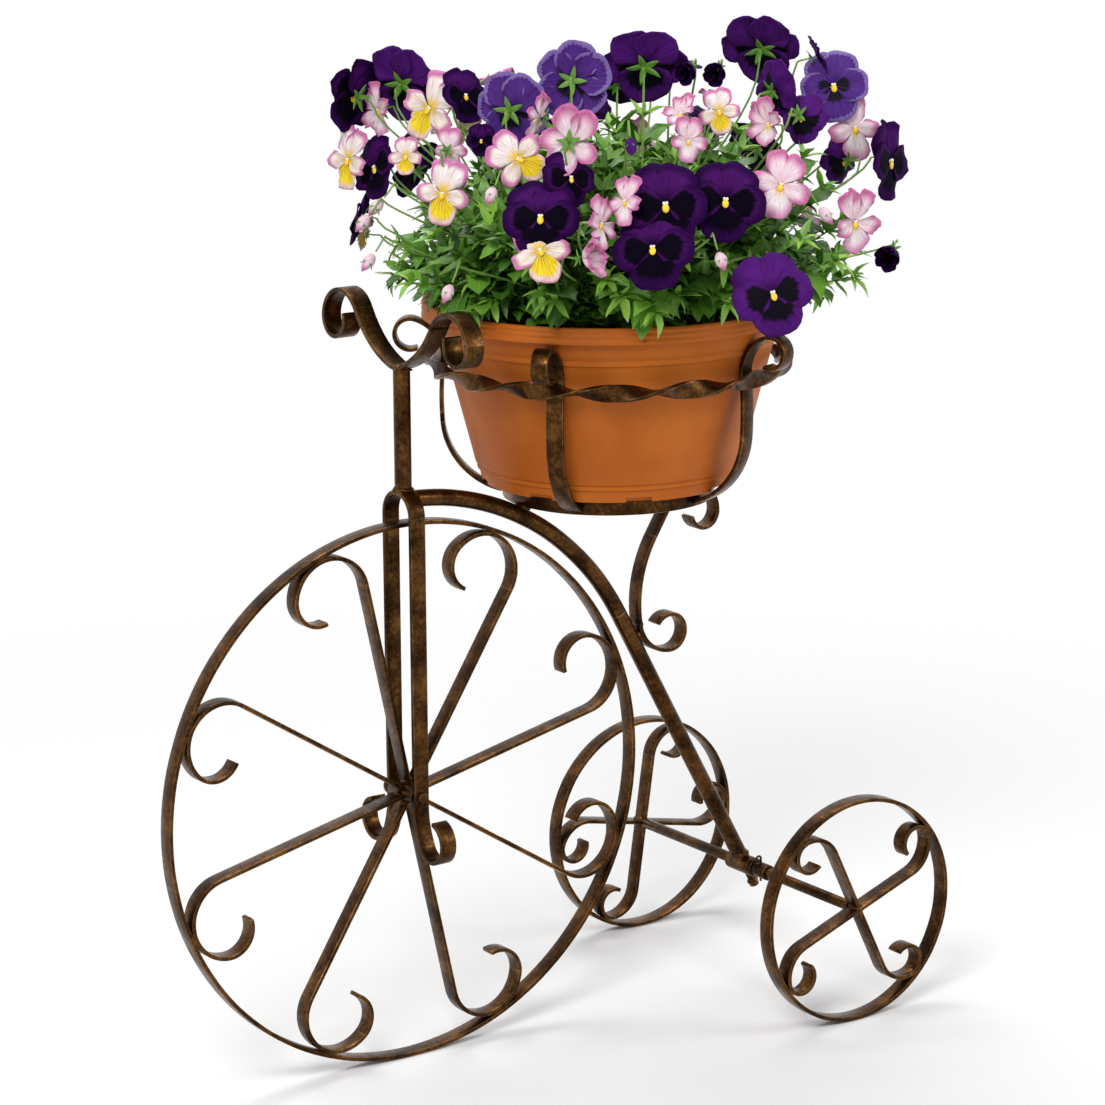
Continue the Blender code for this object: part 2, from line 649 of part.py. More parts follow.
def build_twisted_hoop(path):
    """A strip twisted along its length and closed into a hoop that rests against the uprights."""
    height = pot_top - HOOP_DROP
    passed = next(index for index, (point, _) in enumerate(path) if point.y > height)
    below, above = path[passed - 1][0], path[passed][0]
    wall = below.lerp(above, (height - below.y) / (above.y - below.y)).x
    face = wall + half_thickness + SEAT_GAP
    radius = math.hypot(face, half_strip) + half_strip
    outline = bpy.data.curves.new("hoop_section", "CURVE")
    outline.dimensions = "2D"
    outline.fill_mode = "NONE"
    corners = ((-1, -1), (-1, 1), (1, 1), (1, -1))
    section = outline.splines.new("POLY")
    section.points.add(len(corners) - 1)
    for control, (across, through) in zip(section.points, corners):
        control.co = (across * half_strip, through * half_thickness, 0.0, 1.0)
    section.use_cyclic_u = True
    guide = add_cutter("hoop_section", outline)
    curve = bpy.data.curves.new("twisted_hoop", "CURVE")
    curve.dimensions = "3D"
    curve.twist_mode = "Z_UP"
    curve.bevel_mode = "OBJECT"
    curve.bevel_object = guide
    count = HOOP_HALF_TWISTS * HOOP_STEPS_PER_TWIST
    spline = curve.splines.new("POLY")
    spline.points.add(count - 1)
    for index, control in enumerate(spline.points):
        turn = 2 * math.pi * index / count
        control.co = (radius * math.cos(turn), radius * math.sin(turn), height, 1.0)
        control.tilt = HOOP_HALF_TWISTS * (turn - HOOP_EDGE_ON_ANGLE) / 2
    spline.use_cyclic_u = True
    as_mesh(add_piece("twisted_hoop", curve, "bronzed iron", location=(HOLDER_X, 0.0, 0.0)))


def prop_path(straight):
    """The C-scroll from its top curl to its low curl, its top against the base ring."""
    heading = PROP_BACK_ANGLE - math.radians(sum(PROP_TOP_TURNS))
    top_curl = zip((PROP_TOP_CURL_RADIUS, PROP_TOP_ARCH_RADIUS), PROP_TOP_TURNS)
    low_radii = (PROP_BACK_RADIUS, PROP_LOW_ARCH_RADIUS, PROP_LOW_CURL_RADIUS)
    runs = (*top_curl, (straight, 0), *zip(low_radii, PROP_LOW_TURNS))
    path = bent_path((0.0, 0.0), heading, runs)
    top = max(path, key=lambda item: item[0].y)[0]
    seat = Vector((HOLDER_X + RING_RADIUS - half_thickness, ring_foot - SEAT_GAP - half_thickness))
    return [(point - top + seat, now) for point, now in path]


def gap_to_backbone(path):
    """Least distance from the C-scroll to the straight part of the backbone."""
    axle = Vector((WHEELBASE, REAR_WHEEL_RADIUS))
    normal = Vector((-tail_direction.y, tail_direction.x))
    nearest = min((point - axle).dot(normal) for point, _ in path)
    return nearest - bar_radius - half_thickness


def build_prop():
    shortest, longest = 0.0, PROP_LONGEST
    for _ in range(PROP_HALVINGS):
        middle = (shortest + longest) / 2
        if gap_to_backbone(prop_path(middle)) > SEAT_GAP:
            shortest = middle
        else:
            longest = middle
    bent_strip("scroll_prop", prop_path(shortest), rotation=SIDE_VIEW)


def pot_profile():
    """Outer side from the rim down, then the floor and the inner side up to the rim."""
    lip = POT_HEIGHT - POT_RIM_DEPTH
    neck = lip - POT_NECK_DEPTH
    outside = [(POT_RIM_RADIUS - POT_RIDGE_DEPTH, POT_HEIGHT)]
    for ridge in range(POT_RIM_RIDGES):
        crest = POT_HEIGHT - POT_RIM_DEPTH * (ridge + 1 / 2) / POT_RIM_RIDGES
        valley = POT_HEIGHT - POT_RIM_DEPTH * (ridge + 1) / POT_RIM_RIDGES
        outside.append((POT_RIM_RADIUS, crest))
        outside.append((POT_RIM_RADIUS - POT_RIDGE_DEPTH, valley))
    outside[-1] = (POT_RIM_RADIUS, lip)
    outside.append((POT_NECK_RADIUS, lip))
    outside.append((POT_NECK_RADIUS - POT_GROOVE, (lip + neck) / 2))
    outside.append((POT_BODY_RADIUS + POT_GROOVE, neck + POT_GROOVE))
    outside.append((POT_BODY_RADIUS, neck))
    slope = (POT_BODY_RADIUS - POT_BASE_RADIUS) / neck
    for rise in (neck - POT_GROOVE_PITCH, POT_BAND_RISE + POT_GROOVE_PITCH, POT_BAND_RISE):
        radius = POT_BASE_RADIUS + slope * rise
        outside.append((radius + POT_GROOVE / 2, rise + POT_GROOVE / 2))
        outside.append((radius - POT_GROOVE / 2, rise - POT_GROOVE / 2))
    outside.append((POT_BASE_RADIUS, 0.0))
    floor = POT_WALL + POT_NOTCH_HEIGHT
    floor_radius = POT_BASE_RADIUS - POT_NOTCH_DEPTH - POT_WALL
    inside = [
        (0.0, 0.0),
        (0.0, floor),
        (floor_radius, floor),
        (POT_BODY_RADIUS - POT_WALL - POT_GROOVE, neck),
        (POT_NECK_RADIUS - POT_WALL - POT_GROOVE, lip),
        (POT_RIM_RADIUS - POT_WALL - POT_RIDGE_DEPTH, POT_HEIGHT),
    ]
    return outside, inside


def build_pot():
    axis = add_axis("pot_axis", (HOLDER_X, 0.0, pot_foot), (0.0, 0.0, 0.0))
    outside, inside = pot_profile()
    pot = turned("pot", outside + inside, POT_FACETS, closed=True, finish="terracotta plastic",
                 parent=axis)
    mesh = bpy.data.meshes.new("pot_notches")
    work = bmesh.new()
    for index in range(POT_NOTCHES):
        angle = 2 * math.pi * (index + 1 / 2) / POT_NOTCHES
        size = Matrix.Diagonal((2 * POT_NOTCH_DEPTH, POT_NOTCH_WIDTH, 2 * POT_NOTCH_HEIGHT, 1.0))
        where = Matrix.Rotation(angle, 4, "Z") @ Matrix.Translation((POT_BASE_RADIUS, 0.0, 0.0))
        bmesh.ops.create_cube(work, size=1.0, matrix=where @ size)
    work.to_mesh(mesh)
    work.free()
    combine(pot, add_cutter("pot_notches", mesh, parent=axis))

    floor_radius, floor = inside[2]
    body_radius, neck = inside[3]
    neck_radius, lip = inside[4]
    top = POT_HEIGHT - SOIL_DROP
    share = (top - neck) / (lip - neck)
    top_radius = body_radius + share * (neck_radius - body_radius)
    profile = [
        (0.0, top),
        (top_radius - SEAT_GAP, top),
        (body_radius - SEAT_GAP, neck),
        (floor_radius - SEAT_GAP, floor + SEAT_GAP),
        (0.0, floor + SEAT_GAP),
    ]
    turned("potting_mix", profile, POT_FACETS, finish="potting mix", parent=axis)
    return axis


def build_leaf_mound(axis):
    """A lumpy mound of leaves that fills the pot's mouth and spreads out over the rim."""
    rim = POT_HEIGHT + SEAT_GAP
    mouth = POT_NECK_RADIUS - POT_WALL - POT_GROOVE - SOIL_DROP
    soil = POT_HEIGHT - SOIL_DROP + SEAT_GAP
    brim = rim + LEAF_MOUND_SKIRT
    profile = [(0.0, brim + LEAF_MOUND_HEIGHT)]
    for share in LEVEL_SHARES:
        rise = LEAF_MOUND_HEIGHT * math.sqrt(1 - share ** 2)
        profile.append((LEAF_MOUND_RADIUS * share, brim + rise))
    profile.append((POT_RIM_RADIUS, rim))
    profile.append((mouth, rim))
    profile.append((mouth, soil))
    profile.append((0.0, soil))
    mound = turned("flowering_plants", profile, LEAF_MOUND_FACETS, finish="leaves", parent=axis)
    for vertex in mound.data.vertices:
        rise = vertex.co.z - brim
        if rise < -MERGE_DISTANCE:
            continue
        angle = math.atan2(vertex.co.y, vertex.co.x)
        wave = 2 * math.pi * rise / LEAF_MOUND_HEIGHT
        lump = math.sin(7 * angle + wave) + math.sin(12 * angle - wave)
        vertex.co.x *= 1 + LEAF_LUMP_SHARE * lump
        vertex.co.y *= 1 + LEAF_LUMP_SHARE * lump
    return mound


def spread_blooms():
    """Every bloom as [kind, direction, reach, radius], turned apart until no two meet."""
    blooms = []
    for kind, rows in BLOOM_SHARES.items():
        for azimuth, elevation, reach_share, size_share in rows:
            around, up = math.radians(azimuth), math.radians(elevation)
            flat = math.cos(up)
            direction = Vector((flat * math.cos(around), flat * math.sin(around), math.sin(up)))
            reach = reach_share / math.hypot(flat / BLOOM_REACH, math.sin(up) / BLOOM_RISE)
            blooms.append([kind, direction, reach, size_share * BLOOM_DIAMETERS[kind] / 2])
    for _ in range(SPREAD_ROUNDS):
        for index, one in enumerate(blooms):
            for other in blooms[:index]:
                room = sum((bloom[3] + SEAT_GAP) / bloom[2] for bloom in (one, other))
                apart = one[1] - other[1]
                if apart.length < room:
                    push = apart.normalized() * (room - apart.length) / 2
                    one[1] = (one[1] + push).normalized()
                    other[1] = (other[1] - push).normalized()
    return blooms


def ring_points(centre, direction, count, radii):
    """Points round a centre, square to a direction, at the radii in turn."""
    frame = direction.to_track_quat("Z", "Y")
    points = []
    for index in range(count):
        turn = 2 * math.pi * index / count
        radius = radii[index % len(radii)]
        points.append(centre + frame @ Vector((radius * math.cos(turn), radius * math.sin(turn), 0.0)))
    return points


def add_bloom(work, root, bloom, slot):
    """One flower: a stem from inside the leaves that flares into a ring of petals."""
    _, direction, reach, radius = bloom
    foot = root + direction * STEM_START
    centre = root + direction * reach
    throat = centre - direction * min(BLOOM_THROAT, radius)
    stem_radii = (STEM_DIAMETER / 2,)
    petal_radii = [share * radius for share in PETAL_EDGE_SHARES]
    per_petal = len(PETAL_EDGE_SHARES)
    low = [work.verts.new(point) for point in ring_points(foot, direction, PETALS, stem_radii)]
    high = [work.verts.new(point) for point in ring_points(throat, direction, PETALS, stem_radii)]
    edge_points = ring_points(centre, direction, PETALS * per_petal, petal_radii)
    edge = [work.verts.new(point) for point in edge_points]
    crown = work.verts.new(centre + direction * min(BLOOM_CROWN, radius))
    work.faces.new(low[::-1])
    petals = []
    for index in range(PETALS):
        after = (index + 1) % PETALS
        work.faces.new((low[index], low[after], high[after], high[index]))
        rim = [edge[(index * per_petal + step) % len(edge)] for step in range(per_petal + 1)]
        middle = (per_petal + 1) // 2
        for step in range(per_petal):
            throat_vert = high[index] if step < middle else high[after]
            petals.append(work.faces.new((throat_vert, rim[step + 1], rim[step])))
            petals.append(work.faces.new((rim[step], rim[step + 1], crown)))
        petals.append(work.faces.new((high[index], high[after], rim[middle])))
    for petal in petals:
        petal.material_index = slot


def build_blooms(mound):
    """Every bloom joined to the mound of leaves that its stem grows from."""
    root = Vector((0.0, 0.0, POT_HEIGHT))
    work = bmesh.new()
    kinds = list(BLOOM_DIAMETERS)
    for bloom in spread_blooms():
        add_bloom(work, root, bloom, kinds.index(bloom[0]) + 1)
    bmesh.ops.recalc_face_normals(work, faces=work.faces)
    mesh = bpy.data.meshes.new("blooms")
    work.to_mesh(mesh)
    work.free()
    for data in (mound.data, mesh):
        data.materials.clear()
        for finish in ("leaves", *kinds):
            data.materials.append(finish_for(mound.name, finish))
    return combine(mound, add_cutter("blooms", mesh, parent=mound.parent), "UNION")


STAND = None
CUTTERS = None


def main():
    global STAND, CUTTERS
    clear_scene()
    STAND = make_collection("tricycle plant stand")
    CUTTERS = make_collection("cutters and guides")
    build_front_wheel()
    build_fork()
    build_stem_and_handlebar()
    build_backbone()
    build_rear_wheels()
    build_holder()
    build_prop()
    axis = build_pot()
    build_blooms(build_leaf_mound(axis))


main()
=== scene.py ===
# %% [markdown]
# # A tricycle plant stand with a pot of pansies
# The stand is flat iron strip and round bar, bent cold and welded, with a rubbed
# bronze paint over it. It carries a plastic pot full of pansies and violas. The packed
# model gives every place and size, and this script gives every surface its look.

# %% Load the frame
import math
import random

import bmesh
import bpy
from mathutils import Matrix, Vector, noise


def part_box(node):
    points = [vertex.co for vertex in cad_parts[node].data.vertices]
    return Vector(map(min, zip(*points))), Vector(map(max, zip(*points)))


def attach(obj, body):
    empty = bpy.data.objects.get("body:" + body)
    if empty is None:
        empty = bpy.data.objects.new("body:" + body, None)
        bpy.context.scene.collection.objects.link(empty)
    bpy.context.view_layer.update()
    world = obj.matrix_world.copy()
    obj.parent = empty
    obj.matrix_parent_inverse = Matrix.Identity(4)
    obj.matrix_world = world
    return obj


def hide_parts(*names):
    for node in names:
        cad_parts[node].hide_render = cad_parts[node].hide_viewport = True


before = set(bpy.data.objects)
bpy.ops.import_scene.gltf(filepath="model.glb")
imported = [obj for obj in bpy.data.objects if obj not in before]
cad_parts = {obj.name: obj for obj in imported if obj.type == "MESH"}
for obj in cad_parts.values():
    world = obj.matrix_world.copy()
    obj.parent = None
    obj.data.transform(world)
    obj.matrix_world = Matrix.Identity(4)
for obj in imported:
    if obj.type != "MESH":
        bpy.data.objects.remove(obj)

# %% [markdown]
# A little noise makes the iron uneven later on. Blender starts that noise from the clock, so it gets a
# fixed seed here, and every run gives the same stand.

NOISE_SEED = 3
noise.seed_set(NOISE_SEED)
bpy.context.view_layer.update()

# %% [markdown]
# ## The camera
# The photograph was taken with a long lens from the front left, a little above the
# pot. The camera's place was found by fitting the wheels' and the rim's ellipses, so
# it is written here as a real place and as three angles, with no shift and no blur.

# %% Set up the camera
CAMERA_PLACE = Vector((-1.4311, -2.2144, 1.0120))
CAMERA_AZIMUTH = math.radians(-35.243)
CAMERA_ELEVATION = math.radians(13.294)
CAMERA_ROLL = math.radians(-0.318)
LENS_MM = 119.97
SENSOR_MM = 36.0


def camera_axes():
    """The camera's right, up and backward directions."""
    back = Vector((
        math.sin(CAMERA_AZIMUTH) * math.cos(CAMERA_ELEVATION),
        -math.cos(CAMERA_AZIMUTH) * math.cos(CAMERA_ELEVATION),
        math.sin(CAMERA_ELEVATION),
    ))
    right = Vector((math.cos(CAMERA_AZIMUTH), math.sin(CAMERA_AZIMUTH), 0.0))
    up = back.cross(right)
    turned_right = right * math.cos(CAMERA_ROLL) + up * math.sin(CAMERA_ROLL)
    turned_up = up * math.cos(CAMERA_ROLL) - right * math.sin(CAMERA_ROLL)
    return turned_right, turned_up, back


def add_object(name, data):
    """A new object in the scene that shows the given data."""
    made = bpy.data.objects.new(name, data)
    bpy.context.scene.collection.objects.link(made)
    return made


camera_data = bpy.data.cameras.new("camera")
camera_data.lens = LENS_MM
camera_data.sensor_width = SENSOR_MM
camera = add_object("camera", camera_data)
camera.matrix_world = Matrix.Translation(CAMERA_PLACE) @ Matrix(camera_axes()).transposed().to_4x4()
bpy.context.scene.camera = camera
print("camera at", [round(value, 3) for value in camera.location])

# %% [markdown]
# ## Small helpers for finishes
# Every finish is a tree of nodes, and written out in full it would be long. Helpers
# keep it short: one adds a node and sets or links its inputs by name, and another
# adds a colour ramp, which turns a number into a colour.

# %% Add nodes by name
def connect(tree, socket, value):
    """Links a socket to another one, or sets it to a plain value."""
    if isinstance(value, bpy.types.NodeSocket):
        tree.links.new(value, socket)
    else:
        socket.default_value = value


def node(tree, kind, inputs=None, **settings):
    """A new node with its settings set and its inputs set or linked."""
    made = tree.nodes.new(kind)
    for name, value in settings.items():
        setattr(made, name, value)
    for name, value in (inputs or {}).items():
        connect(tree, made.inputs[name], value)
    return made


def ramp(tree, factor, stops):
    """A colour ramp through (position, colour) stops. A colour may be one grey value."""
    made = node(tree, "ShaderNodeValToRGB", {"Fac": factor})
    elements = made.color_ramp.elements
    while len(elements) < len(stops):
        elements.new(0.5)
    for element, (position, colour) in zip(elements, stops):
        element.position = position
        element.color = (*colour, 1.0) if len(colour) == 3 else (colour[0],) * 3 + (1.0,)
    return made.outputs["Color"]


# %% [markdown]
# Two more helpers mix two colours by a factor, and add, multiply or compare numbers.
# Both take a plain value or another node's output, so they can be nested like a sum.

# %% Mix, add and compare
MIX_FACTOR, MIX_FIRST, MIX_SECOND, MIX_RESULT = 0, 6, 7, 2


def mixed(tree, factor, first, second, blend="MIX"):
    """Two colours mixed by a factor."""
    made = node(tree, "ShaderNodeMix", data_type="RGBA", blend_type=blend)
    for index, value in ((MIX_FACTOR, factor), (MIX_FIRST, first), (MIX_SECOND, second)):
        connect(tree, made.inputs[index], (*value, 1.0) if isinstance(value, tuple) else value)
    return made.outputs[MIX_RESULT]


def arithmetic(tree, operation, first, second=0.0, third=0.0):
    """One step of arithmetic on numbers or sockets."""
    made = node(tree, "ShaderNodeMath", operation=operation)
    for index, value in enumerate((first, second, third)):
        connect(tree, made.inputs[index], value)
    return made.outputs[0]


def product(tree, first, second):
    return arithmetic(tree, "MULTIPLY", first, second)


# %% [markdown]
# A finish starts as an empty material with Blender's one general shader in it. Noise
# on the piece's own coordinates mottles it, and the same noise can raise the surface
# a little, so that light catches it. Leaves, petals and plastic let some light in.

# %% Start a finish
def mottle(tree, scale, detail=4.0, roughness=0.6, vector=None):
    """Noise over the piece's own coordinates."""
    place = vector or node(tree, "ShaderNodeTexCoord").outputs["Object"]
    inputs = {"Vector": place, "Scale": scale, "Detail": detail, "Roughness": roughness}
    return node(tree, "ShaderNodeTexNoise", inputs).outputs["Fac"]


def new_finish(name, roughness, metallic=0.0):
    """An empty finish: its material, its tree and its shader."""
    material = bpy.data.materials.new(name)
    material.use_nodes = True
    shader = material.node_tree.nodes["Principled BSDF"]
    shader.inputs["Roughness"].default_value = roughness
    shader.inputs["Metallic"].default_value = metallic
    return material, material.node_tree, shader


def bumped(tree, shader, height, strength, distance):
    """Raises the surface by a height map."""
    made = node(tree, "ShaderNodeBump", {"Height": height, "Strength": strength, "Distance": distance})
    tree.links.new(made.outputs["Normal"], shader.inputs["Normal"])


def coloured(tree, shader, colour):
    connect(tree, shader.inputs["Base Color"], colour)


def lets_light_in(shader, share, reach):
    """How much light soaks in, and how far each of its colours spreads inside."""
    shader.inputs["Subsurface Weight"].default_value = share
    shader.inputs["Subsurface Radius"].default_value = reach


# %% [markdown]
# ## The iron's finish
# The stand is painted dark brown, and the paint is rubbed back in cloudy patches so that a warmer
# bronze shows.
# Along the edges a bright bronze is painted in: partly rubbed wear, and partly a painted highlight
# where the rounded edges catch the light. Two scales of noise choose between the browns, the Bevel node
# finds the edges, and fine noise roughens it. The paint is mostly metal flake, so it reflects in its
# own brown and hardly in white.

# %% Make the bronzed iron
IRON_DARK = (0.012, 0.005, 0.0015)
IRON_BROWN = (0.050, 0.021, 0.006)
IRON_BRONZE = (0.145, 0.064, 0.017)
IRON_EDGE_WEAR_AND_HIGHLIGHT = (0.50, 0.30, 0.13)
IRON_ROUGHNESS = 0.45
IRON_METAL = 0.85
IRON_SPECULAR = 0.1
# Noise is written as its scale, its detail and its roughness
IRON_CLOUDS = (42.0, 5.0, 0.62)
IRON_SPECKS = (330.0, 3.0, 0.7)
CLOUD_SHARE, SPECK_SHARE = 0.75, 0.45
IRON_SHADES = ((0.44, IRON_DARK), (0.59, IRON_BROWN), (0.77, IRON_BRONZE))
IRON_GLOSS = ((0.45, (0.42,)), (0.75, (0.25,)))
EDGE_REACH, EDGE_SAMPLES = 0.0011, 6
EDGE_STOPS = ((0.80, (1.0,)), (0.985, (0.0,)))
WEAR_AND_HIGHLIGHT_STOPS = ((0.38, (0.1,)), (0.60, (0.9,)))
IRON_BUMP = (0.35, 0.0006)


def edge_mask(tree):
    """White where the surface turns within the edge's reach."""
    rounded = node(tree, "ShaderNodeBevel", {"Radius": EDGE_REACH}, samples=EDGE_SAMPLES)
    facing = node(tree, "ShaderNodeNewGeometry").outputs["Normal"]
    pair = node(tree, "ShaderNodeVectorMath", operation="DOT_PRODUCT")
    tree.links.new(rounded.outputs["Normal"], pair.inputs[0])
    tree.links.new(facing, pair.inputs[1])
    return ramp(tree, pair.outputs["Value"], EDGE_STOPS)


def make_iron():
    material, tree, shader = new_finish("bronzed iron", IRON_ROUGHNESS, IRON_METAL)
    clouds = mottle(tree, *IRON_CLOUDS)
    specks = mottle(tree, *IRON_SPECKS)
    patches = arithmetic(tree, "MULTIPLY_ADD", specks, SPECK_SHARE, product(tree, clouds, CLOUD_SHARE))
    paint = ramp(tree, patches, IRON_SHADES)
    # Bright bronze on the edges in cloudy patches: partly rubbed paint, partly a painted highlight
    # where the rounded edges catch the light.
    worn_and_highlit = product(tree, edge_mask(tree), ramp(tree, clouds, WEAR_AND_HIGHLIGHT_STOPS))
    coloured(tree, shader, mixed(tree, worn_and_highlit, paint, IRON_EDGE_WEAR_AND_HIGHLIGHT))
    tree.links.new(ramp(tree, patches, IRON_GLOSS), shader.inputs["Roughness"])
    shader.inputs["Specular IOR Level"].default_value = IRON_SPECULAR
    bumped(tree, shader, patches, *IRON_BUMP)
    return material


iron = make_iron()
print("finish:", iron.name)

# %% [markdown]
# ## The pot's finish
# The pot is moulded polypropylene in terracotta orange: matt, very even, with faint
# cloudy patches and a fine grain, and a little light that soaks into the plastic.

# %% Make the terracotta plastic
CLAY = (0.41, 0.093, 0.005)
CLAY_PALE = (0.50, 0.130, 0.010)
CLAY_ROUGHNESS = 0.5
CLAY_SPECULAR = 0.2
CLAY_CLOUDS = (16.0, 4.0, 0.55)
CLAY_GRAIN = (900.0, 2.0, 0.5)
CLAY_SHADES = ((0.38, CLAY), (0.68, CLAY_PALE))
CLAY_GLOSS = ((0.3, (0.46,)), (0.7, (0.60,)))
CLAY_SOAK = (0.04, (0.004, 0.0015, 0.0008))
CLAY_BUMP = (0.12, 0.0004)


def make_terracotta():
    material, tree, shader = new_finish("terracotta plastic", CLAY_ROUGHNESS)
    coloured(tree, shader, ramp(tree, mottle(tree, *CLAY_CLOUDS), CLAY_SHADES))
    grain = mottle(tree, *CLAY_GRAIN)
    tree.links.new(ramp(tree, grain, CLAY_GLOSS), shader.inputs["Roughness"])
    shader.inputs["Specular IOR Level"].default_value = CLAY_SPECULAR
    lets_light_in(shader, *CLAY_SOAK)
    bumped(tree, shader, grain, *CLAY_BUMP)
    return material


terracotta = make_terracotta()
print("finish:", terracotta.name)

# %% [markdown]
# ## The planting's finishes
# Leaves and petals are thin, and light spreads a little inside them: the subsurface part
# of each finish stands for that. A pattern on a leaf or a petal has to follow its shape,
# so it reads the piece's own UV map, "along": U runs across the leaf or petal, and V from
# its foot to its edge. A number called "role" says which leaf or petal a face is of.

# %% Read the place on a leaf or petal
SHEET_UV = "along"
SHEET_ROLE = "role"
FANS_ACROSS, FANS_ALONG = 26.0, 2.5


def petal_place(tree):
    """U across and V along a petal or a leaf."""
    split = node(tree, "ShaderNodeSeparateXYZ")
    uv = node(tree, "ShaderNodeUVMap", uv_map=SHEET_UV)
    tree.links.new(uv.outputs["UV"], split.inputs["Vector"])
    return split.outputs["X"], split.outputs["Y"]


def role_of(tree):
    return node(tree, "ShaderNodeAttribute", attribute_name=SHEET_ROLE).outputs["Fac"]


def from_middle(tree, across):
    """How far a point is from the line down the middle."""
    return arithmetic(tree, "ABSOLUTE", arithmetic(tree, "SUBTRACT", across, 0.5))


def fan_lines(tree, across, along):
    """Coordinates that are drawn out along the petal, for its fine ribs."""
    joined = node(tree, "ShaderNodeCombineXYZ")
    tree.links.new(product(tree, across, FANS_ACROSS), joined.inputs["X"])
    tree.links.new(product(tree, along, FANS_ALONG), joined.inputs["Y"])
    return joined.outputs["Vector"]


# %% [markdown]
# A leaf's green goes from dark to pale with its role, a number of its own; the rim leaves keep to the
# darker greens as painted shade. It is paler along its midrib and side ribs. The side ribs slant
# forward from the midrib: a distance along the leaf, less a share of the distance from the midrib, is
# folded back and forth, and its folds are the ribs.

# %% Make the leaves
RIB_SPACING = 0.055
RIB_SLANT = -0.55
RIB_STOPS = ((0.0, (0.75,)), (0.22, (0.0,)))
MIDRIB_STOPS = ((0.0, (1.0,)), (0.045, (0.0,)))
RIB_STRENGTH = 0.5
LEAF_ROUGHNESS = 0.40
LEAF_SOAK = (0.2, (0.002, 0.004, 0.001))
LEAF_BUMP = (0.5, 0.0004)
LEAF_PATCHES = (26.0, 3.0, 0.6)
OWN_SHARE, PATCH_SHARE = 0.55, 0.50


def make_leaf(name, dark, fresh, vein):
    """Leaves, each in a shade of its own, with paler ribs that slant from the midrib."""
    material, tree, shader = new_finish(name, LEAF_ROUGHNESS)
    across, along = petal_place(tree)
    own = product(tree, role_of(tree), OWN_SHARE)
    patches = arithmetic(tree, "MULTIPLY_ADD", mottle(tree, *LEAF_PATCHES), PATCH_SHARE, own)
    body = ramp(tree, patches, ((0.22, dark), (0.74, fresh)))
    offset = from_middle(tree, across)
    slanted = arithmetic(tree, "MULTIPLY_ADD", offset, RIB_SLANT, along)
    folded = arithmetic(tree, "PINGPONG", slanted, RIB_SPACING)
    ribs = ramp(tree, arithmetic(tree, "DIVIDE", folded, RIB_SPACING), RIB_STOPS)
    lines = arithmetic(tree, "MAXIMUM", ribs, ramp(tree, offset, MIDRIB_STOPS))
    coloured(tree, shader, mixed(tree, product(tree, lines, RIB_STRENGTH), body, vein))
    lets_light_in(shader, *LEAF_SOAK)
    bumped(tree, shader, lines, *LEAF_BUMP)
    return material


leaf_green = make_leaf("leaf green", (0.030, 0.105, 0.009), (0.155, 0.380, 0.030),
                       (0.24, 0.46, 0.09))
young_green = make_leaf("young leaf green", (0.095, 0.270, 0.020), (0.280, 0.530, 0.060),
                        (0.36, 0.57, 0.14))
print("finishes:", leaf_green.name, young_green.name)

# %% [markdown]
# The stalks are paler and yellower than the leaves, and light soaks in. They are too
# thin for a pattern, so a soft mottle is enough.

# %% Make the stalks
STALK_ROUGHNESS = 0.45
STALK_PATCHES = 30.0
STALK_SHADES = ((0.35, (0.10, 0.24, 0.03)), (0.7, (0.27, 0.41, 0.08)))
STALK_SOAK = (0.2, (0.002, 0.003, 0.001))


def make_stalk():
    material, tree, shader = new_finish("flower stalk", STALK_ROUGHNESS)
    coloured(tree, shader, ramp(tree, mottle(tree, STALK_PATCHES), STALK_SHADES))
    lets_light_in(shader, *STALK_SOAK)
    return material


stalk_green = make_stalk()
print("finish:", stalk_green.name)

# %% [markdown]
# A petal's colour changes from its throat over its body to its edge, and not in the same
# way in the upper and the lower petals: a "role" of 0 is an upper petal, 0.6 a side one
# and 1 the lowest. Dark pansies have black blotches on the side and lower petals. The
# violas' lower petals are yellow or white, with thin dark whiskers, and pink at the edge.
# Each of these patterns is a mask between 0 and 1, made of the same two coordinates.

# %% Draw the petals' patterns
UPPER_ROLE, SIDE_ROLE, LOWEST_ROLE = 0.0, 0.6, 1.0
BELOW_UPPER, ABOVE_SIDE = 0.3, 0.8
THROAT_END, BODY_START, EDGE_END = 0.24, 0.50, 1.15
BLOTCH_FADE = ((0.0, (1.0,)), (0.10, (0.0,)))
BLOTCH_SIDES = ((0.34, (1.0,)), (0.46, (0.0,)))
WHISKER_TURNS = 24.0
WHISKER_FOOT, WHISKER_TAPER, WHISKER_WIDTH = 0.12, -0.62, 0.40


def petal_shade(tree, ragged, colours, edge_from):
    """Throat, body and edge colours along a petal."""
    throat, body, edge = colours
    stops = ((THROAT_END, throat), (BODY_START, body), (edge_from, body), (EDGE_END, edge))
    return ramp(tree, ragged, stops)


def blotch_mask(tree, across, ragged, role, reach):
    """Where the dark blotch of a side or a lower petal is."""
    inside = ramp(tree, arithmetic(tree, "SUBTRACT", ragged, reach), BLOTCH_FADE)
    inside = product(tree, inside, ramp(tree, from_middle(tree, across), BLOTCH_SIDES))
    return product(tree, inside, arithmetic(tree, "GREATER_THAN", role, BELOW_UPPER))


def whisker_mask(tree, across, along, role):
    """Thin dark lines that run out from the throat of a side or a lower petal."""
    waves = arithmetic(tree, "SINE", product(tree, across, WHISKER_TURNS))
    width = arithmetic(tree, "MULTIPLY_ADD", along, WHISKER_TAPER, WHISKER_WIDTH)
    lines = arithmetic(tree, "LESS_THAN", arithmetic(tree, "ABSOLUTE", waves), width)
    beyond = product(tree, lines, arithmetic(tree, "GREATER_THAN", along, WHISKER_FOOT))
    return product(tree, beyond, arithmetic(tree, "GREATER_THAN", role, BELOW_UPPER))


# %% [markdown]
# One function makes all five petal finishes, because they differ only in their colours
# and in how strong each pattern is. The fine streaks that fan out over a petal are one
# stretched noise: it frays the borders between the colours, and it darkens and raises
# the petal in fine lines.

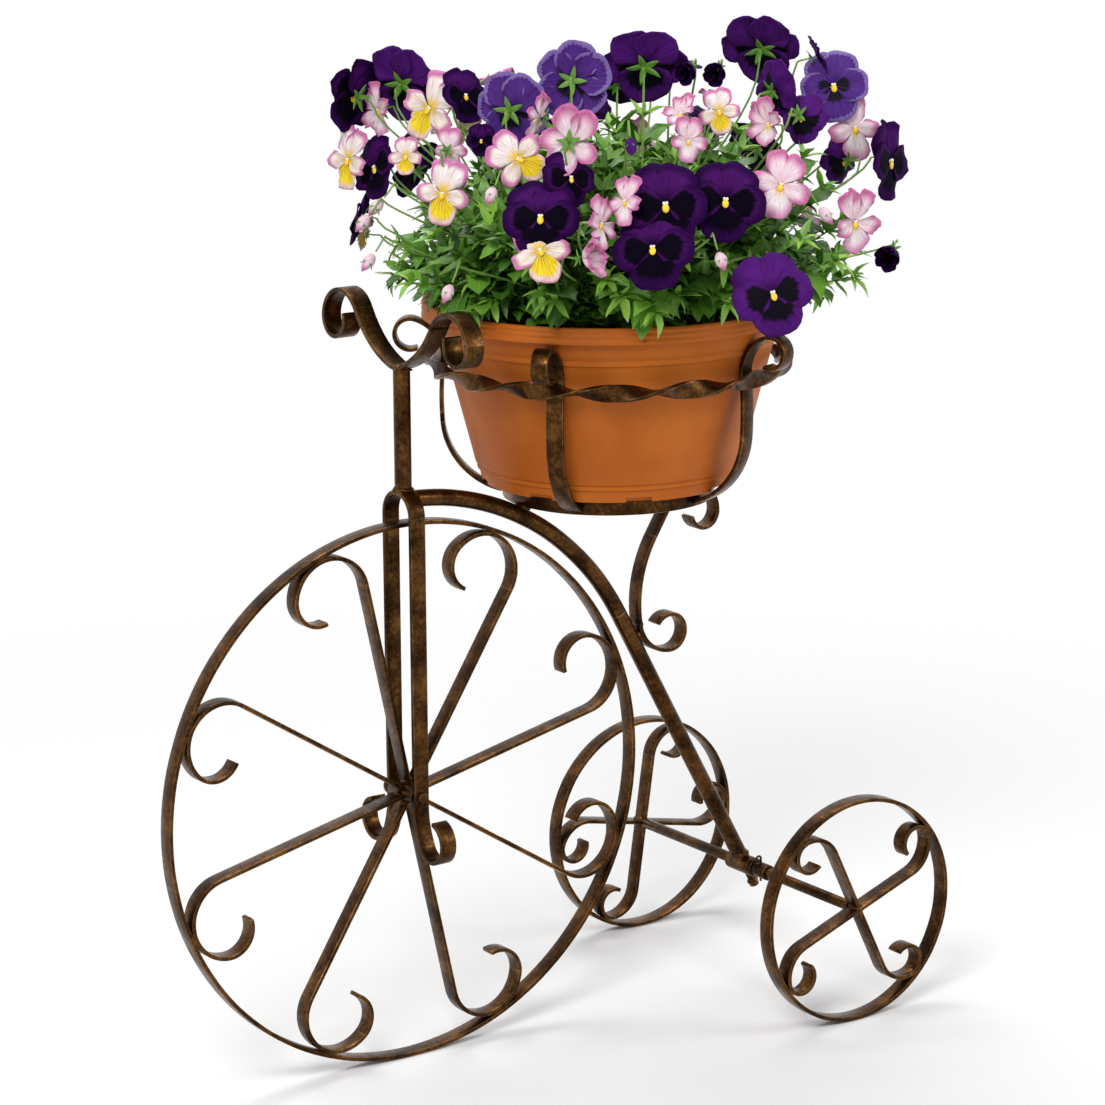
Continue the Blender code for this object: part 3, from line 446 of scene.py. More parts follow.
# %% Make a petal finish
BLOTCH = (0.0020, 0.0005, 0.0050)
POLLEN = (0.90, 0.60, 0.015)
WHISKER = (0.040, 0.006, 0.050)
PETAL_ROUGHNESS = 0.7
FAN_NOISE = (1.0, 3.0, 0.55)
RAGGEDNESS = 0.26
LOWNESS = ((0.30, (0.0,)), (0.62, (0.12,)), (0.95, (1.0,)))
STREAKS = ((0.34, (0.66,)), (0.62, (1.0,)))
RIM_LINE = ((0.93, (0.0,)), (0.97, (1.0,)))
PETAL_SOAK = (0.08, (0.002, 0.0015, 0.002))
PETAL_BUMP = (0.35, 0.0012)


def make_petals(name, upper, lower, blotch=(0.0, 0.5), whiskers=0.0, eye=0.0, line=0.0, edge_from=0.85,
                gloss=0.15):
    """Petals from (throat, body, edge) colours and the strength of each pattern."""
    material, tree, shader = new_finish(name, PETAL_ROUGHNESS)
    across, along = petal_place(tree)
    role = role_of(tree)
    fans = mottle(tree, *FAN_NOISE, vector=fan_lines(tree, across, along))
    ragged = arithmetic(tree, "MULTIPLY_ADD", fans, RAGGEDNESS, along)
    shade = mixed(tree, ramp(tree, role, LOWNESS), petal_shade(tree, ragged, upper, edge_from),
                  petal_shade(tree, ragged, lower, edge_from))
    shade = mixed(tree, 1.0, shade, ramp(tree, fans, STREAKS), "MULTIPLY")
    strength = product(tree, blotch_mask(tree, across, ragged, role, blotch[1]), blotch[0])
    shade = mixed(tree, strength, shade, BLOTCH)
    in_eye = product(tree, arithmetic(tree, "LESS_THAN", along, eye),
                     arithmetic(tree, "GREATER_THAN", role, ABOVE_SIDE))
    shade = mixed(tree, in_eye, shade, POLLEN)
    drawn = product(tree, whisker_mask(tree, across, along, role), whiskers)
    shade = mixed(tree, drawn, shade, WHISKER)
    shade = mixed(tree, product(tree, ramp(tree, along, RIM_LINE), line), shade, upper[2])
    coloured(tree, shader, shade)
    shader.inputs["Specular IOR Level"].default_value = gloss
    lets_light_in(shader, *PETAL_SOAK)
    bumped(tree, shader, fans, *PETAL_BUMP)
    return material


# %% [markdown]
# The five kinds of bloom in the photograph are a nearly black pansy, a violet one, a
# light violet one with a pale edge, and two small violas: pink and white, and one with
# a yellow face. Each row gives the upper and the lower petals' colours, then the blotch
# as its strength and reach, and the strengths of the finer marks.

# %% Make the five kinds of petal
PETAL_FINISHES = {
    # The dark pansy's upper petals are brightest in their body and darker towards the edge: partly the
    # petal's own colour, partly a painted sheen.
    "dark": make_petals("dark violet petals",
                        ((0.016, 0.001, 0.032), (0.056, 0.006, 0.104), (0.024, 0.002, 0.052)),
                        ((0.005, 0.001, 0.012), (0.012, 0.001, 0.028), (0.025, 0.002, 0.054)),
                        blotch=(1.0, 0.80), eye=0.10, gloss=0.03),
    "violet": make_petals("violet petals",
                          ((0.036, 0.003, 0.080), (0.082, 0.008, 0.175), (0.074, 0.008, 0.160)),
                          ((0.026, 0.002, 0.060), (0.056, 0.005, 0.125), (0.070, 0.007, 0.150)),
                          blotch=(1.0, 0.74), eye=0.10, gloss=0.08),
    "lilac": make_petals("light violet petals",
                         ((0.050, 0.010, 0.150), (0.085, 0.024, 0.225), (0.220, 0.140, 0.410)),
                         ((0.042, 0.006, 0.120), (0.072, 0.018, 0.205), (0.180, 0.110, 0.360)),
                         blotch=(1.0, 0.50), eye=0.10, line=0.35, edge_from=1.06),
    "pink": make_petals("pink and white petals",
                        ((0.90, 0.62, 0.70), (0.91, 0.70, 0.78), (0.62, 0.17, 0.38)),
                        ((0.92, 0.68, 0.30), (0.94, 0.82, 0.85), (0.72, 0.32, 0.52)),
                        whiskers=0.25, eye=0.16, line=0.35, edge_from=0.72),
    "yellow": make_petals("yellow faced petals",
                          ((0.92, 0.62, 0.10), (0.93, 0.80, 0.78), (0.66, 0.20, 0.44)),
                          ((0.88, 0.54, 0.010), (0.92, 0.67, 0.025), (0.92, 0.66, 0.62)),
                          whiskers=0.95, eye=0.14, line=0.5, edge_from=0.88),
}
print("petal finishes:", list(PETAL_FINISHES))

# %% [markdown]
# ## Bending strip the way a smith does
# A flat strip starts as one small face, its cross-section. A round bar starts as a
# disc. Both are laid out in a flat drawing plane, where a place is two numbers and a
# direction is one angle, and the finished piece is stood up at its place afterwards.

# %% Start a strip or a bar
STRIP_WIDTH = 0.0130
STRIP_THICKNESS = 0.0032
BAR_DIAMETER = 0.0127
BAR_SIDES = 28
SIDE_VIEW = Matrix.Rotation(math.radians(90), 4, "X")
FRONT_VIEW = Matrix.Rotation(math.radians(90), 4, "Z") @ SIDE_VIEW


def faces_of(verts):
    """The faces round these vertices, always in the same order."""
    return list(dict.fromkeys(face for vert in verts for face in vert.link_faces))


def section_matrix(point, heading):
    """Puts a section's own X across the strip and its normal along the heading."""
    turn = Matrix.Rotation(heading, 4, "Z")
    stand = Matrix(((0, 0, 1, 0), (1, 0, 0, 0), (0, 1, 0, 0), (0, 0, 0, 1)))
    return Matrix.Translation((*point, 0.0)) @ turn @ stand


def section_face(work, place, thickness, width):
    """One oblong face, the cross-section of a strip."""
    size = Matrix.Diagonal((thickness, width, 1.0, 1.0))
    made = bmesh.ops.create_grid(work, x_segments=1, y_segments=1, size=0.5, matrix=place @ size)
    return faces_of(made["verts"])


def start_strip(work, point, heading, width):
    return section_face(work, section_matrix(point, heading), STRIP_THICKNESS, width)


def start_bar(work, point, heading, diameter, sides=BAR_SIDES):
    made = bmesh.ops.create_circle(work, cap_ends=True, segments=sides, radius=diameter / 2,
                                   matrix=section_matrix(point, heading))
    return faces_of(made["verts"])


# %% [markdown]
# A straight run extrudes the end face, and a bend spins it about the bend's centre, so
# the mesh is made by the same moves as the iron. A list of runs is then all that a
# piece needs: each is a length with no turn, or a bend's radius with its turn.

# %% Carry the end face along its runs
BEND_STEP = math.radians(5)
LEAST_STEPS = 3
TIGHT_BEND = 0.03


def forwards(heading):
    return Vector((math.cos(heading), math.sin(heading)))


def leftwards(heading):
    return Vector((-math.sin(heading), math.cos(heading)))


def only(kind, made):
    """The vertices, the edges or the faces among what an operator made."""
    return [item for item in made if isinstance(item, kind)]


def run_straight(work, faces, step):
    made = bmesh.ops.extrude_face_region(work, geom=faces)
    bmesh.ops.translate(work, verts=only(bmesh.types.BMVert, made["geom"]), vec=(*step, 0.0))
    return only(bmesh.types.BMFace, made["geom"])


def run_round(work, faces, centre, radius, angle):
    """Spins the end face. A wide bend takes more steps than a tight one."""
    steps = math.ceil(abs(angle) / BEND_STEP * max(1.0, math.sqrt(radius / TIGHT_BEND)))
    made = bmesh.ops.spin(work, geom=faces, cent=(*centre, 0.0), axis=(0, 0, 1), dvec=(0, 0, 0),
                          angle=angle, steps=max(LEAST_STEPS, steps), use_merge=False,
                          use_duplicate=False)
    return only(bmesh.types.BMFace, made["geom_last"])


def run_on(work, faces, point, heading, runs):
    """Carries the end face along its runs: (length, 0), or (bend radius, turn in degrees)."""
    for size, turn in runs:
        if turn == 0:
            step = size * forwards(heading)
            faces = run_straight(work, faces, step)
            point = point + step
            continue
        side = math.copysign(1.0, turn)
        centre = point + side * size * leftwards(heading)
        angle = math.radians(turn)
        faces = run_round(work, faces, centre, size, angle)
        heading += angle
        point = centre - side * size * leftwards(heading)
    return faces


# %% [markdown]
# A strip's ends are closed, and its long edges are bevelled, as rolled strip has them.
# Hand-bent iron is never quite true, so smooth noise moves each point by a tenth of a
# millimetre.

# %% Close the ends and round the edges
MERGE = 0.000001
WIDE_MERGE = 0.00001
EDGE_ROUND = 0.0005
ROUND_SEGMENTS = 2
SHARP_ANGLE = 50
UNEVENNESS = (0.00012, 45.0)


def close_ends(work):
    """Fills an end that the extrusion left open, and turns the faces outwards."""
    bmesh.ops.remove_doubles(work, verts=work.verts, dist=MERGE)
    open_edges = [edge for edge in work.edges if edge.is_boundary]
    if open_edges:
        bmesh.ops.holes_fill(work, edges=open_edges, sides=0)
    bmesh.ops.recalc_face_normals(work, faces=work.faces)


def round_edges(work, offset=EDGE_ROUND, angle=SHARP_ANGLE):
    """Bevels every edge that is sharper than the angle."""
    sharp = [edge for edge in work.edges
             if edge.is_manifold and edge.calc_face_angle() > math.radians(angle)]
    bmesh.ops.bevel(work, geom=sharp, offset=offset, offset_type="OFFSET", segments=ROUND_SEGMENTS,
                    profile=0.5, affect="EDGES", material=-1, clamp_overlap=True)


def uneven(work, amount=UNEVENNESS[0], scale=UNEVENNESS[1]):
    """Moves each point a little by smooth noise."""
    for vert in work.verts:
        vert.co += noise.noise_vector(vert.co * scale) * amount


# %% [markdown]
# A finished mesh rides one of the model's bodies and takes its finish from a slot, and the solids of
# the model that it stands for are hidden. Only sharp edges stay sharp in the shading, so a bend looks
# smooth.

# %% Finish a piece
SMOOTH_ANGLE = 35


def carry(work, place):
    bmesh.ops.transform(work, matrix=place, verts=work.verts)


def mesh_object(name, work):
    """An object from a bmesh, which is used up."""
    mesh = bpy.data.meshes.new(name)
    work.to_mesh(mesh)
    work.free()
    return add_object(name, mesh)


def finish_piece(name, work, finishes, body, smooth_angle=SMOOTH_ANGLE):
    """Turns a bmesh into a piece that rides a body and takes its finish from a slot."""
    piece = mesh_object(name, work)
    piece.data.shade_smooth()
    piece.data.set_sharp_from_angle(angle=math.radians(smooth_angle))
    for finish in finishes:
        piece.data.materials.append(finish)
    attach(piece, body)
    return piece


def finish_iron(name, work, body, nodes):
    """An iron piece that stands for CAD nodes."""
    piece = finish_piece(name, work, [iron], body)
    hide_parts(*nodes)


def finish_strip(name, node_name, work, place, body):
    """Closes and rounds a bent strip, and carries it to its place."""
    close_ends(work)
    round_edges(work)
    uneven(work)
    carry(work, place)
    finish_iron(name, work, body, [node_name])


# %% [markdown]
# A smith cuts each length so that the finished scroll just fits, and this script does
# the same. It walks along a strip's middle line without making any mesh, and works out
# how long the straight run has to be for the curls to touch the hoop.

# %% Measure a bent strip
PATH_STEPS = 60


def bent_path(point, heading, runs):
    """Points along the middle of a bent strip."""
    point = Vector(point)
    path = [point.copy()]
    for size, turn in runs:
        if turn == 0:
            point = point + size * forwards(heading)
            path.append(point.copy())
            continue
        side = math.copysign(1.0, turn)
        centre = point + side * size * leftwards(heading)
        for index in range(1, PATH_STEPS + 1):
            now = heading + math.radians(turn) * index / PATH_STEPS
            point = centre - side * size * leftwards(now)
            path.append(point.copy())
        heading = now
    return path


def straight_to_reach(start, bends, reach):
    """Length of the straight run that lets the bends after it just come out to the reach."""
    path = bent_path((0.0, 0.0), 0.0, bends)
    return min(math.sqrt(reach ** 2 - point.y ** 2) - point.x for point in path) - start


# %% [markdown]
# ## The wheels' places
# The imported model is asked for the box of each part, and the wheels' middles and radii
# follow from it.

# %% Read the wheels' places from the frame
TOUCH = 0.0002
STRIP_GAP = 0.0003


def middle(name):
    low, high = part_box(name)
    return (low + high) / 2


def half_size(name, axis):
    low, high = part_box(name)
    return (high[axis] - low[axis]) / 2


def inside_hoop(radius):
    """How far out the middle line of a strip comes that touches a hoop from inside."""
    return radius - STRIP_THICKNESS * 1.5 - TOUCH


def turn_of(first, index, count):
    """The angle of one of several equal shares of a turn."""
    return first + 2 * math.pi * index / count


def outwards(angle):
    return Vector((math.cos(angle), math.sin(angle), 0.0))


FRONT_HUB = middle("front_rim")
FRONT_RADIUS = half_size("front_rim", 2)
REAR_HUB = middle("rear_axle")
REAR_RADIUS = half_size("left_rim", 2)
print("front wheel:", FRONT_HUB, FRONT_RADIUS, "rear wheels:", REAR_HUB, REAR_RADIUS)

# %% [markdown]
# ## The hoops of the wheels
# Each wheel is a strip rolled into a hoop. Its section is spun all the way round the
# hub, and the last step is merged with the first one.

# %% Roll the hoops
FRONT_HOOP_STEPS = 180
REAR_HOOP_STEPS = 120


def section_edges(work, place, thickness, width):
    """The four edges of a section, without the face between them."""
    faces = section_face(work, place, thickness, width)
    edges = list(dict.fromkeys(edge for face in faces for edge in face.edges))
    bmesh.ops.delete(work, geom=faces, context="FACES_ONLY")
    return edges


def spin_round(work, edges, steps):
    """Spins edges once round Z and closes the ring."""
    bmesh.ops.spin(work, geom=edges, cent=(0, 0, 0), axis=(0, 0, 1), dvec=(0, 0, 0),
                   angle=2 * math.pi, steps=steps, use_merge=True, use_duplicate=False)


def rolled_hoop(name, node_name, radius, body, steps):
    work = bmesh.new()
    start = section_matrix((0.0, radius - STRIP_THICKNESS / 2), 0.0)
    spin_round(work, section_edges(work, start, STRIP_THICKNESS, STRIP_WIDTH), steps)
    place = Matrix.Translation(middle(node_name)) @ SIDE_VIEW
    finish_strip(name, node_name, work, place, body)


rolled_hoop("front_wheel_hoop", "front_rim", FRONT_RADIUS, "front_wheel", FRONT_HOOP_STEPS)
for side in ("left", "right"):
    rolled_hoop(f"{side}_wheel_hoop", f"{side}_rim", REAR_RADIUS, "rear_wheels", REAR_HOOP_STEPS)
print("hoops:", round(2 * FRONT_RADIUS, 4), "and", round(2 * REAR_RADIUS, 4), "across")

# %% [markdown]
# ## The spokes
# The front wheel has a short hub tube and eight spokes. Each spoke runs straight from
# the hub, bends back on itself and ends in a tighter curl, whose back is welded to the
# hoop.

# %% Bend the spokes
SPOKE_COUNT = 8
SPOKE_ANGLE = math.radians(12.5)
SPOKE_BENDS = ((0.0303, 164), (0.0195, 113))
HUB_RADIUS = 0.0075


def strip_along(start, heading, runs, width=STRIP_WIDTH):
    """A bent strip in its own plane."""
    work = bmesh.new()
    point = Vector(start)
    run_on(work, start_strip(work, point, heading, width), point, heading, runs)
    return work


def bend_strip(name, node_name, place, body, start, heading, runs):
    finish_strip(name, node_name, strip_along(start, heading, runs), place, body)


spoke_straight = straight_to_reach(HUB_RADIUS, SPOKE_BENDS, inside_hoop(FRONT_RADIUS))
spoke_runs = ((spoke_straight, 0), *SPOKE_BENDS)
for index in range(SPOKE_COUNT):
    turn = Matrix.Rotation(turn_of(SPOKE_ANGLE, index, SPOKE_COUNT), 4, "Z")
    place = Matrix.Translation(FRONT_HUB) @ SIDE_VIEW @ turn
    bend_strip(f"curled_spoke_{index + 1}", f"front_spoke_{index + 1}", place, "front_wheel",
               (HUB_RADIUS, 0.0), 0.0, spoke_runs)
print("straight run of a spoke:", round(spoke_straight, 4))

# %% [markdown]
# ## The fork and the handlebar
# Each is one strip with bends in a single plane, bent from its middle both ways. So it
# is modelled as half, mirrored, and its halves are merged.

# %% Bend the symmetric strips
FORK_LEG = 0.0175
FORK_FOOT = ((0.060, 29), (0.0153, 231))
FORK_PAST_PIN = 0.001
PIN_HEAD_RADIUS = 0.007
HANDLEBAR_WIDTH = 0.0155
HANDLEBAR_BENDS = ((0.0182, 17), (0.0805, 42), (0.0239, -137), (0.0142, -212))


def open_middle(work):
    """Takes the end face at the strip's middle away, where the other half joins it."""
    ends = [face for face in work.faces if all(abs(vert.co.x) < MERGE for vert in face.verts)]
    bmesh.ops.delete(work, geom=ends, context="FACES_ONLY")


def everything(work):
    return work.verts[:] + work.edges[:] + work.faces[:]


def mirrored_strip(name, node_name, start, runs, width):
    """Half a strip from its middle, mirrored and merged."""
    work = strip_along(start, 0.0, runs, width)
    bmesh.ops.remove_doubles(work, verts=work.verts, dist=MERGE)
    open_middle(work)
    bmesh.ops.mirror(work, geom=everything(work), matrix=Matrix.Identity(4),
                     merge_dist=WIDE_MERGE, axis="X")
    finish_strip(name, node_name, work, FRONT_VIEW, "frame")


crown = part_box("fork")[1].z - STRIP_THICKNESS / 2
leg_length = crown - FORK_LEG - FRONT_HUB.z + PIN_HEAD_RADIUS + FORK_PAST_PIN
fork_runs = ((FORK_LEG, -90), (leg_length, 0), *FORK_FOOT)
mirrored_strip("fork_strip", "fork", (0.0, crown), fork_runs, STRIP_WIDTH)
bar_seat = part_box("handlebar")[0].z + STRIP_THICKNESS / 2
mirrored_strip("handlebar_strip", "handlebar", (0.0, bar_seat), HANDLEBAR_BENDS, HANDLEBAR_WIDTH)
print("straight leg of the fork:", round(leg_length, 4))

# %% [markdown]
# ## The pot's holder
# Five strips stand round the base ring. Each goes out under the pot, turns up along
# its wall and ends in a scroll that opens outwards. One list of bends serves all five.

# %% Bend the holder's uprights
HOLDER = middle("base_ring")
RING_RADIUS = half_size("base_ring", 0)
RING_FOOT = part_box("base_ring")[0].z
UPRIGHT_COUNT = 5
UPRIGHT_ANGLE = math.radians(-144)
UPRIGHT_LEAN = math.radians(15)
UPRIGHT_RISE = 0.0042
UPRIGHT_BENDS = ((0.060, 72), (0.279, 9), (0.0303, -79), (0.0118, -224))
upright_start = (
    RING_RADIUS + STRIP_GAP + STRIP_THICKNESS / 2 * math.sin(UPRIGHT_LEAN),
    RING_FOOT + UPRIGHT_RISE,
)
for index in range(UPRIGHT_COUNT):
    turn = Matrix.Rotation(turn_of(UPRIGHT_ANGLE, index, UPRIGHT_COUNT), 4, "Z")
    place = Matrix.Translation((HOLDER.x, HOLDER.y, 0.0)) @ turn @ SIDE_VIEW
    bend_strip(f"scrolled_upright_{index + 1}", f"holder_upright_{index + 1}", place, "frame",
               upright_start, UPRIGHT_LEAN, UPRIGHT_BENDS)
print("holder:", HOLDER, "ring radius:", round(RING_RADIUS, 4))

# %% [markdown]
# ## The scroll under the ring
# The C-shaped scroll is one strip too. It is drawn once without its straight run, and
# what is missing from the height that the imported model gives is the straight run. The
# strip's place then follows from the model's box.

# %% Bend the prop under the ring
PROP_TOP_CURL = ((0.0125, 170), (0.024, 148))
PROP_BACK_ANGLE = math.radians(-122)
PROP_BACK = (0.0985, 41)
PROP_LOW_CURL = ((0.0289, 82), (0.0142, 236))
prop_low, prop_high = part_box("scroll_prop")
prop_heading = PROP_BACK_ANGLE - math.radians(sum(turn for _, turn in PROP_TOP_CURL))


def prop_runs(straight):
    return (*PROP_TOP_CURL, (straight, 0), PROP_BACK, *PROP_LOW_CURL)


bare = bent_path((0.0, 0.0), prop_heading, prop_runs(0.0))
bare_rise = max(point.y for point in bare) - min(point.y for point in bare)
prop_rise = prop_high.z - prop_low.z - STRIP_THICKNESS
prop_straight = (prop_rise - bare_rise) / -math.sin(PROP_BACK_ANGLE)
prop_points = bent_path((0.0, 0.0), prop_heading, prop_runs(prop_straight))
prop_start = Vector((
    prop_high.x - STRIP_THICKNESS / 2 - max(point.x for point in prop_points),
    prop_high.z - STRIP_THICKNESS / 2 - max(point.y for point in prop_points),
))
bend_strip("c_scroll_prop", "scroll_prop", SIDE_VIEW, "frame", prop_start, prop_heading,
           prop_runs(prop_straight))
print("straight run of the prop:", round(prop_straight, 4))

# %% [markdown]
# ## The ring that carries the pot
# The base ring is a strip on edge, closed into a ring. A closed ring is a profile of
# radius and height, spun round Z as on a lathe, and the same helper turns every round
# piece further down.

# %% Roll the base ring
RING_STEPS = 120


def lathe(profile, steps, closed=False):
    """Spins a profile of (radius, height) points about Z into one shell."""
    work = bmesh.new()
    verts = [work.verts.new((radius, 0.0, height)) for radius, height in profile]
    edges = [work.edges.new(pair) for pair in zip(verts, verts[1:])]
    if closed:
        edges.append(work.edges.new((verts[-1], verts[0])))
    spin_round(work, edges, steps)
    bmesh.ops.remove_doubles(work, verts=work.verts, dist=MERGE)
    bmesh.ops.recalc_face_normals(work, faces=work.faces)
    return work


def ring_profile(outer, inner, low, high):
    return [(outer, low), (outer, high), (inner, high), (inner, low)]


ring_low, ring_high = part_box("base_ring")
ring_strip = ring_profile(RING_RADIUS, RING_RADIUS - STRIP_THICKNESS, ring_low.z, ring_high.z)
work = lathe(ring_strip, RING_STEPS, True)
round_edges(work)
uneven(work)
bmesh.ops.translate(work, verts=work.verts, vec=(HOLDER.x, HOLDER.y, 0.0))
finish_iron("pot_ring", work, "frame", ["base_ring"])
print("base ring:", round(2 * RING_RADIUS, 4), "across")

# %% [markdown]
# ## The twisted hoop
# A strip twisted cold in a vice and then rolled into a hoop holds the uprights together.
# Its section is carried round a step at a time, and turned about its own line at each
# step.

# %% Twist the hoop
HOOP_HALF_TWISTS = 14
HOOP_STEPS = 24
HOOP_EDGE_ON_ANGLE = math.radians(-138)
hoop_low, hoop_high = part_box("twisted_hoop")
hoop_height = (hoop_low.z + hoop_high.z) / 2
hoop_radius = half_size("twisted_hoop", 0) - STRIP_WIDTH / 2


def twist_on(work, edges, index, step):
    """Carries the section one step round the hoop, and twists it."""
    grown = bmesh.ops.extrude_edge_only(work, edges=edges)["geom"]
    verts = only(bmesh.types.BMVert, grown)
    bmesh.ops.rotate(work, verts=verts, cent=(0, 0, 0), matrix=Matrix.Rotation(step, 3, "Z"))
    angle = step * (index + 1)
    centre = (hoop_radius * math.cos(angle), hoop_radius * math.sin(angle), 0.0)
    along = Vector((-math.sin(angle), math.cos(angle), 0.0))
    twist = Matrix.Rotation(-HOOP_HALF_TWISTS * step / 2, 3, along)
    bmesh.ops.rotate(work, verts=verts, cent=centre, matrix=twist)
    return only(bmesh.types.BMEdge, grown)


def twist_hoop():
    count = HOOP_HALF_TWISTS * HOOP_STEPS
    start_tilt = -HOOP_HALF_TWISTS * HOOP_EDGE_ON_ANGLE / 2
    place = (Matrix.Translation((hoop_radius, 0.0, 0.0)) @ Matrix.Rotation(-start_tilt, 4, "Y")
             @ Matrix.Rotation(math.radians(90), 4, "X"))
    work = bmesh.new()
    edges = section_edges(work, place, STRIP_WIDTH, STRIP_THICKNESS)
    for index in range(count):
        edges = twist_on(work, edges, index, 2 * math.pi / count)
    bmesh.ops.remove_doubles(work, verts=work.verts, dist=WIDE_MERGE)
    bmesh.ops.recalc_face_normals(work, faces=work.faces)
    round_edges(work)
    uneven(work)
    bmesh.ops.translate(work, verts=work.verts, vec=(HOLDER.x, HOLDER.y, hoop_height))
    finish_iron("twisted_strip_hoop", work, "frame", ["twisted_hoop"])


twist_hoop()
print("hoop radius:", round(hoop_radius, 4), "height:", round(hoop_height, 4))

# %% [markdown]
# ## The scrolls of the rear wheels
# Each small wheel holds two S-shaped bars that cross at the axle. One is a whole strip,
# and the other is cut in two at the crossing. A whole bar looks the same after half a
# turn, so its first half is copied and turned round to make the second.

# %% Bend the scrolls of the rear wheels
REAR_BENDS = ((0.024, 80), (0.0122, 213))
# The angle of the whole and of the cut bar in each wheel, and which way each curls
REAR_WHEELS = {"left": ((20.0, 116.0), (1, 1)), "right": ((81.5, 168.5), (-1, 1))}


def arm_runs(start, side):
    bends = tuple((radius, side * turn) for radius, turn in REAR_BENDS)
    return ((straight_to_reach(start, bends, inside_hoop(REAR_RADIUS)), 0), *bends)


def bend_scroll_bar(name, node_name, place, side):
    """A bar whose two halves are the same half, the second turned half round."""
    work = strip_along((0.0, 0.0), 0.0, arm_runs(0.0, side))
    open_middle(work)
    made = bmesh.ops.duplicate(work, geom=everything(work))
    verts = only(bmesh.types.BMVert, made["geom"])
    bmesh.ops.rotate(work, verts=verts, cent=(0, 0, 0), matrix=Matrix.Rotation(math.pi, 3, "Z"))
    finish_strip(name, node_name, work, place, "rear_wheels")


for side, (angles, curls) in REAR_WHEELS.items():
    upright = Matrix.Translation(middle(f"{side}_rim")) @ SIDE_VIEW
    bar, arms = (upright @ Matrix.Rotation(math.radians(angle), 4, "Z") for angle in angles)
    bend_scroll_bar(f"{side}_scroll_strip", f"{side}_scroll_bar", bar, curls[0])
    start = STRIP_THICKNESS / 2 + TOUCH
    for half, turn in (("upper", 0.0), ("lower", math.pi)):
        bend_strip(f"{side}_scroll_strip_{half}", f"{side}_scroll_arm_{half}",
                   arms @ Matrix.Rotation(turn, 4, "Z"), "rear_wheels", (start, 0.0), 0.0,
                   arm_runs(start, curls[1]))
print("straight run of a rear scroll:", round(arm_runs(0.0, 1)[0][0], 4))

# %% [markdown]
# ## Round bar: the stem and the backbone
# The stem is a plain upright bar from the fork's crown to the handlebar. Like each
# turned piece further down, it is a profile spun about its own axis.

# %% Set up the stem
TURNED_STEPS = 40
SMALL_ROUND = 0.0003


def turned_piece(name, node_name, profile, body, place, closed=False, rounding=SMALL_ROUND):
    """A small piece as a turner makes it: a profile spun about its own axis."""
    work = lathe(profile, TURNED_STEPS, closed)
    round_edges(work, rounding)
    carry(work, place)
    finish_iron(name, work, body, [node_name])


def rod_profile(radius, low, high):
    return [(0.0, high), (radius, high), (radius, low), (0.0, low)]


stem_low, stem_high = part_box("stem")
turned_piece("stem_bar", "stem", rod_profile(BAR_DIAMETER / 2, stem_low.z, stem_high.z), "frame",
             Matrix.Identity(4), rounding=EDGE_ROUND)
print("stem:", round(stem_high.z - stem_low.z, 4), "long")

# %% [markdown]
# The backbone is one round bar that keeps a finger's width off the front wheel, then
# leaves the curve straight for the rear axle. The place where it leaves is where a
# tangent from the axle meets the circle.

# %% Bend the backbone
SLEEVE_RADIUS = 0.0075
BAR_SINK = 0.0018
BACKBONE_GAP = 0.0095
BACKBONE_UNEVENNESS = (0.0002, 30.0)


def bar_along(start, heading, runs, diameter, sides=BAR_SIDES):
    """A bent round bar in its own plane."""
    work = bmesh.new()
    run_on(work, start_bar(work, start, heading, diameter, sides), start, heading, runs)
    close_ends(work)
    return work


backbone_radius = FRONT_RADIUS + BACKBONE_GAP + BAR_DIAMETER / 2
to_axle = Vector((REAR_HUB.x, REAR_HUB.z - FRONT_HUB.z))
leave_angle = math.atan2(to_axle.y, to_axle.x) + math.acos(backbone_radius / to_axle.length)
start_angle = math.acos(STRIP_WIDTH / 2 / backbone_radius)
tail_length = math.sqrt(to_axle.length ** 2 - backbone_radius ** 2) - SLEEVE_RADIUS + BAR_SINK
backbone_start = Vector((
    backbone_radius * math.cos(start_angle),
    FRONT_HUB.z + backbone_radius * math.sin(start_angle),
))
backbone_runs = ((backbone_radius, math.degrees(leave_angle - start_angle)), (tail_length, 0))
work = bar_along(backbone_start, start_angle - math.pi / 2, backbone_runs, BAR_DIAMETER)
uneven(work, *BACKBONE_UNEVENNESS)
carry(work, SIDE_VIEW)
finish_iron("backbone_bar", work, "frame", ["backbone"])
print("backbone radius:", round(backbone_radius, 4), "tail:", round(tail_length, 4))

# %% [markdown]
# ## The joint of the rear axle
# The backbone's end is welded to a short sleeve that the axle turns in. A collar and
# two wire rings on the axle keep it in place. All of these are small turned pieces
# with a running gap between them.

# %% Turn the rear joint's pieces
AXLE_RADIUS = 0.00425
RUNNING_GAP = 0.0003
COLLAR_RADIUS = 0.00625
WIRE_TURN = 30
BORE_RADIUS = AXLE_RADIUS + RUNNING_GAP
axle_place = Matrix.Translation(REAR_HUB) @ SIDE_VIEW
axle_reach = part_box("rear_axle")[1].y
turned_piece("axle_bar", "rear_axle", rod_profile(AXLE_RADIUS, -axle_reach, axle_reach),
             "rear_wheels", axle_place)
sleeve_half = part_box("rear_sleeve")[1].y
turned_piece("axle_sleeve", "rear_sleeve",
             ring_profile(SLEEVE_RADIUS, BORE_RADIUS, -sleeve_half, sleeve_half),
             "frame", axle_place, closed=True)
collar_low, collar_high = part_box("axle_collar")
turned_piece("pinned_collar", "axle_collar",
             ring_profile(COLLAR_RADIUS, BORE_RADIUS, -collar_high.y, -collar_low.y),
             "rear_wheels", axle_place, closed=True)
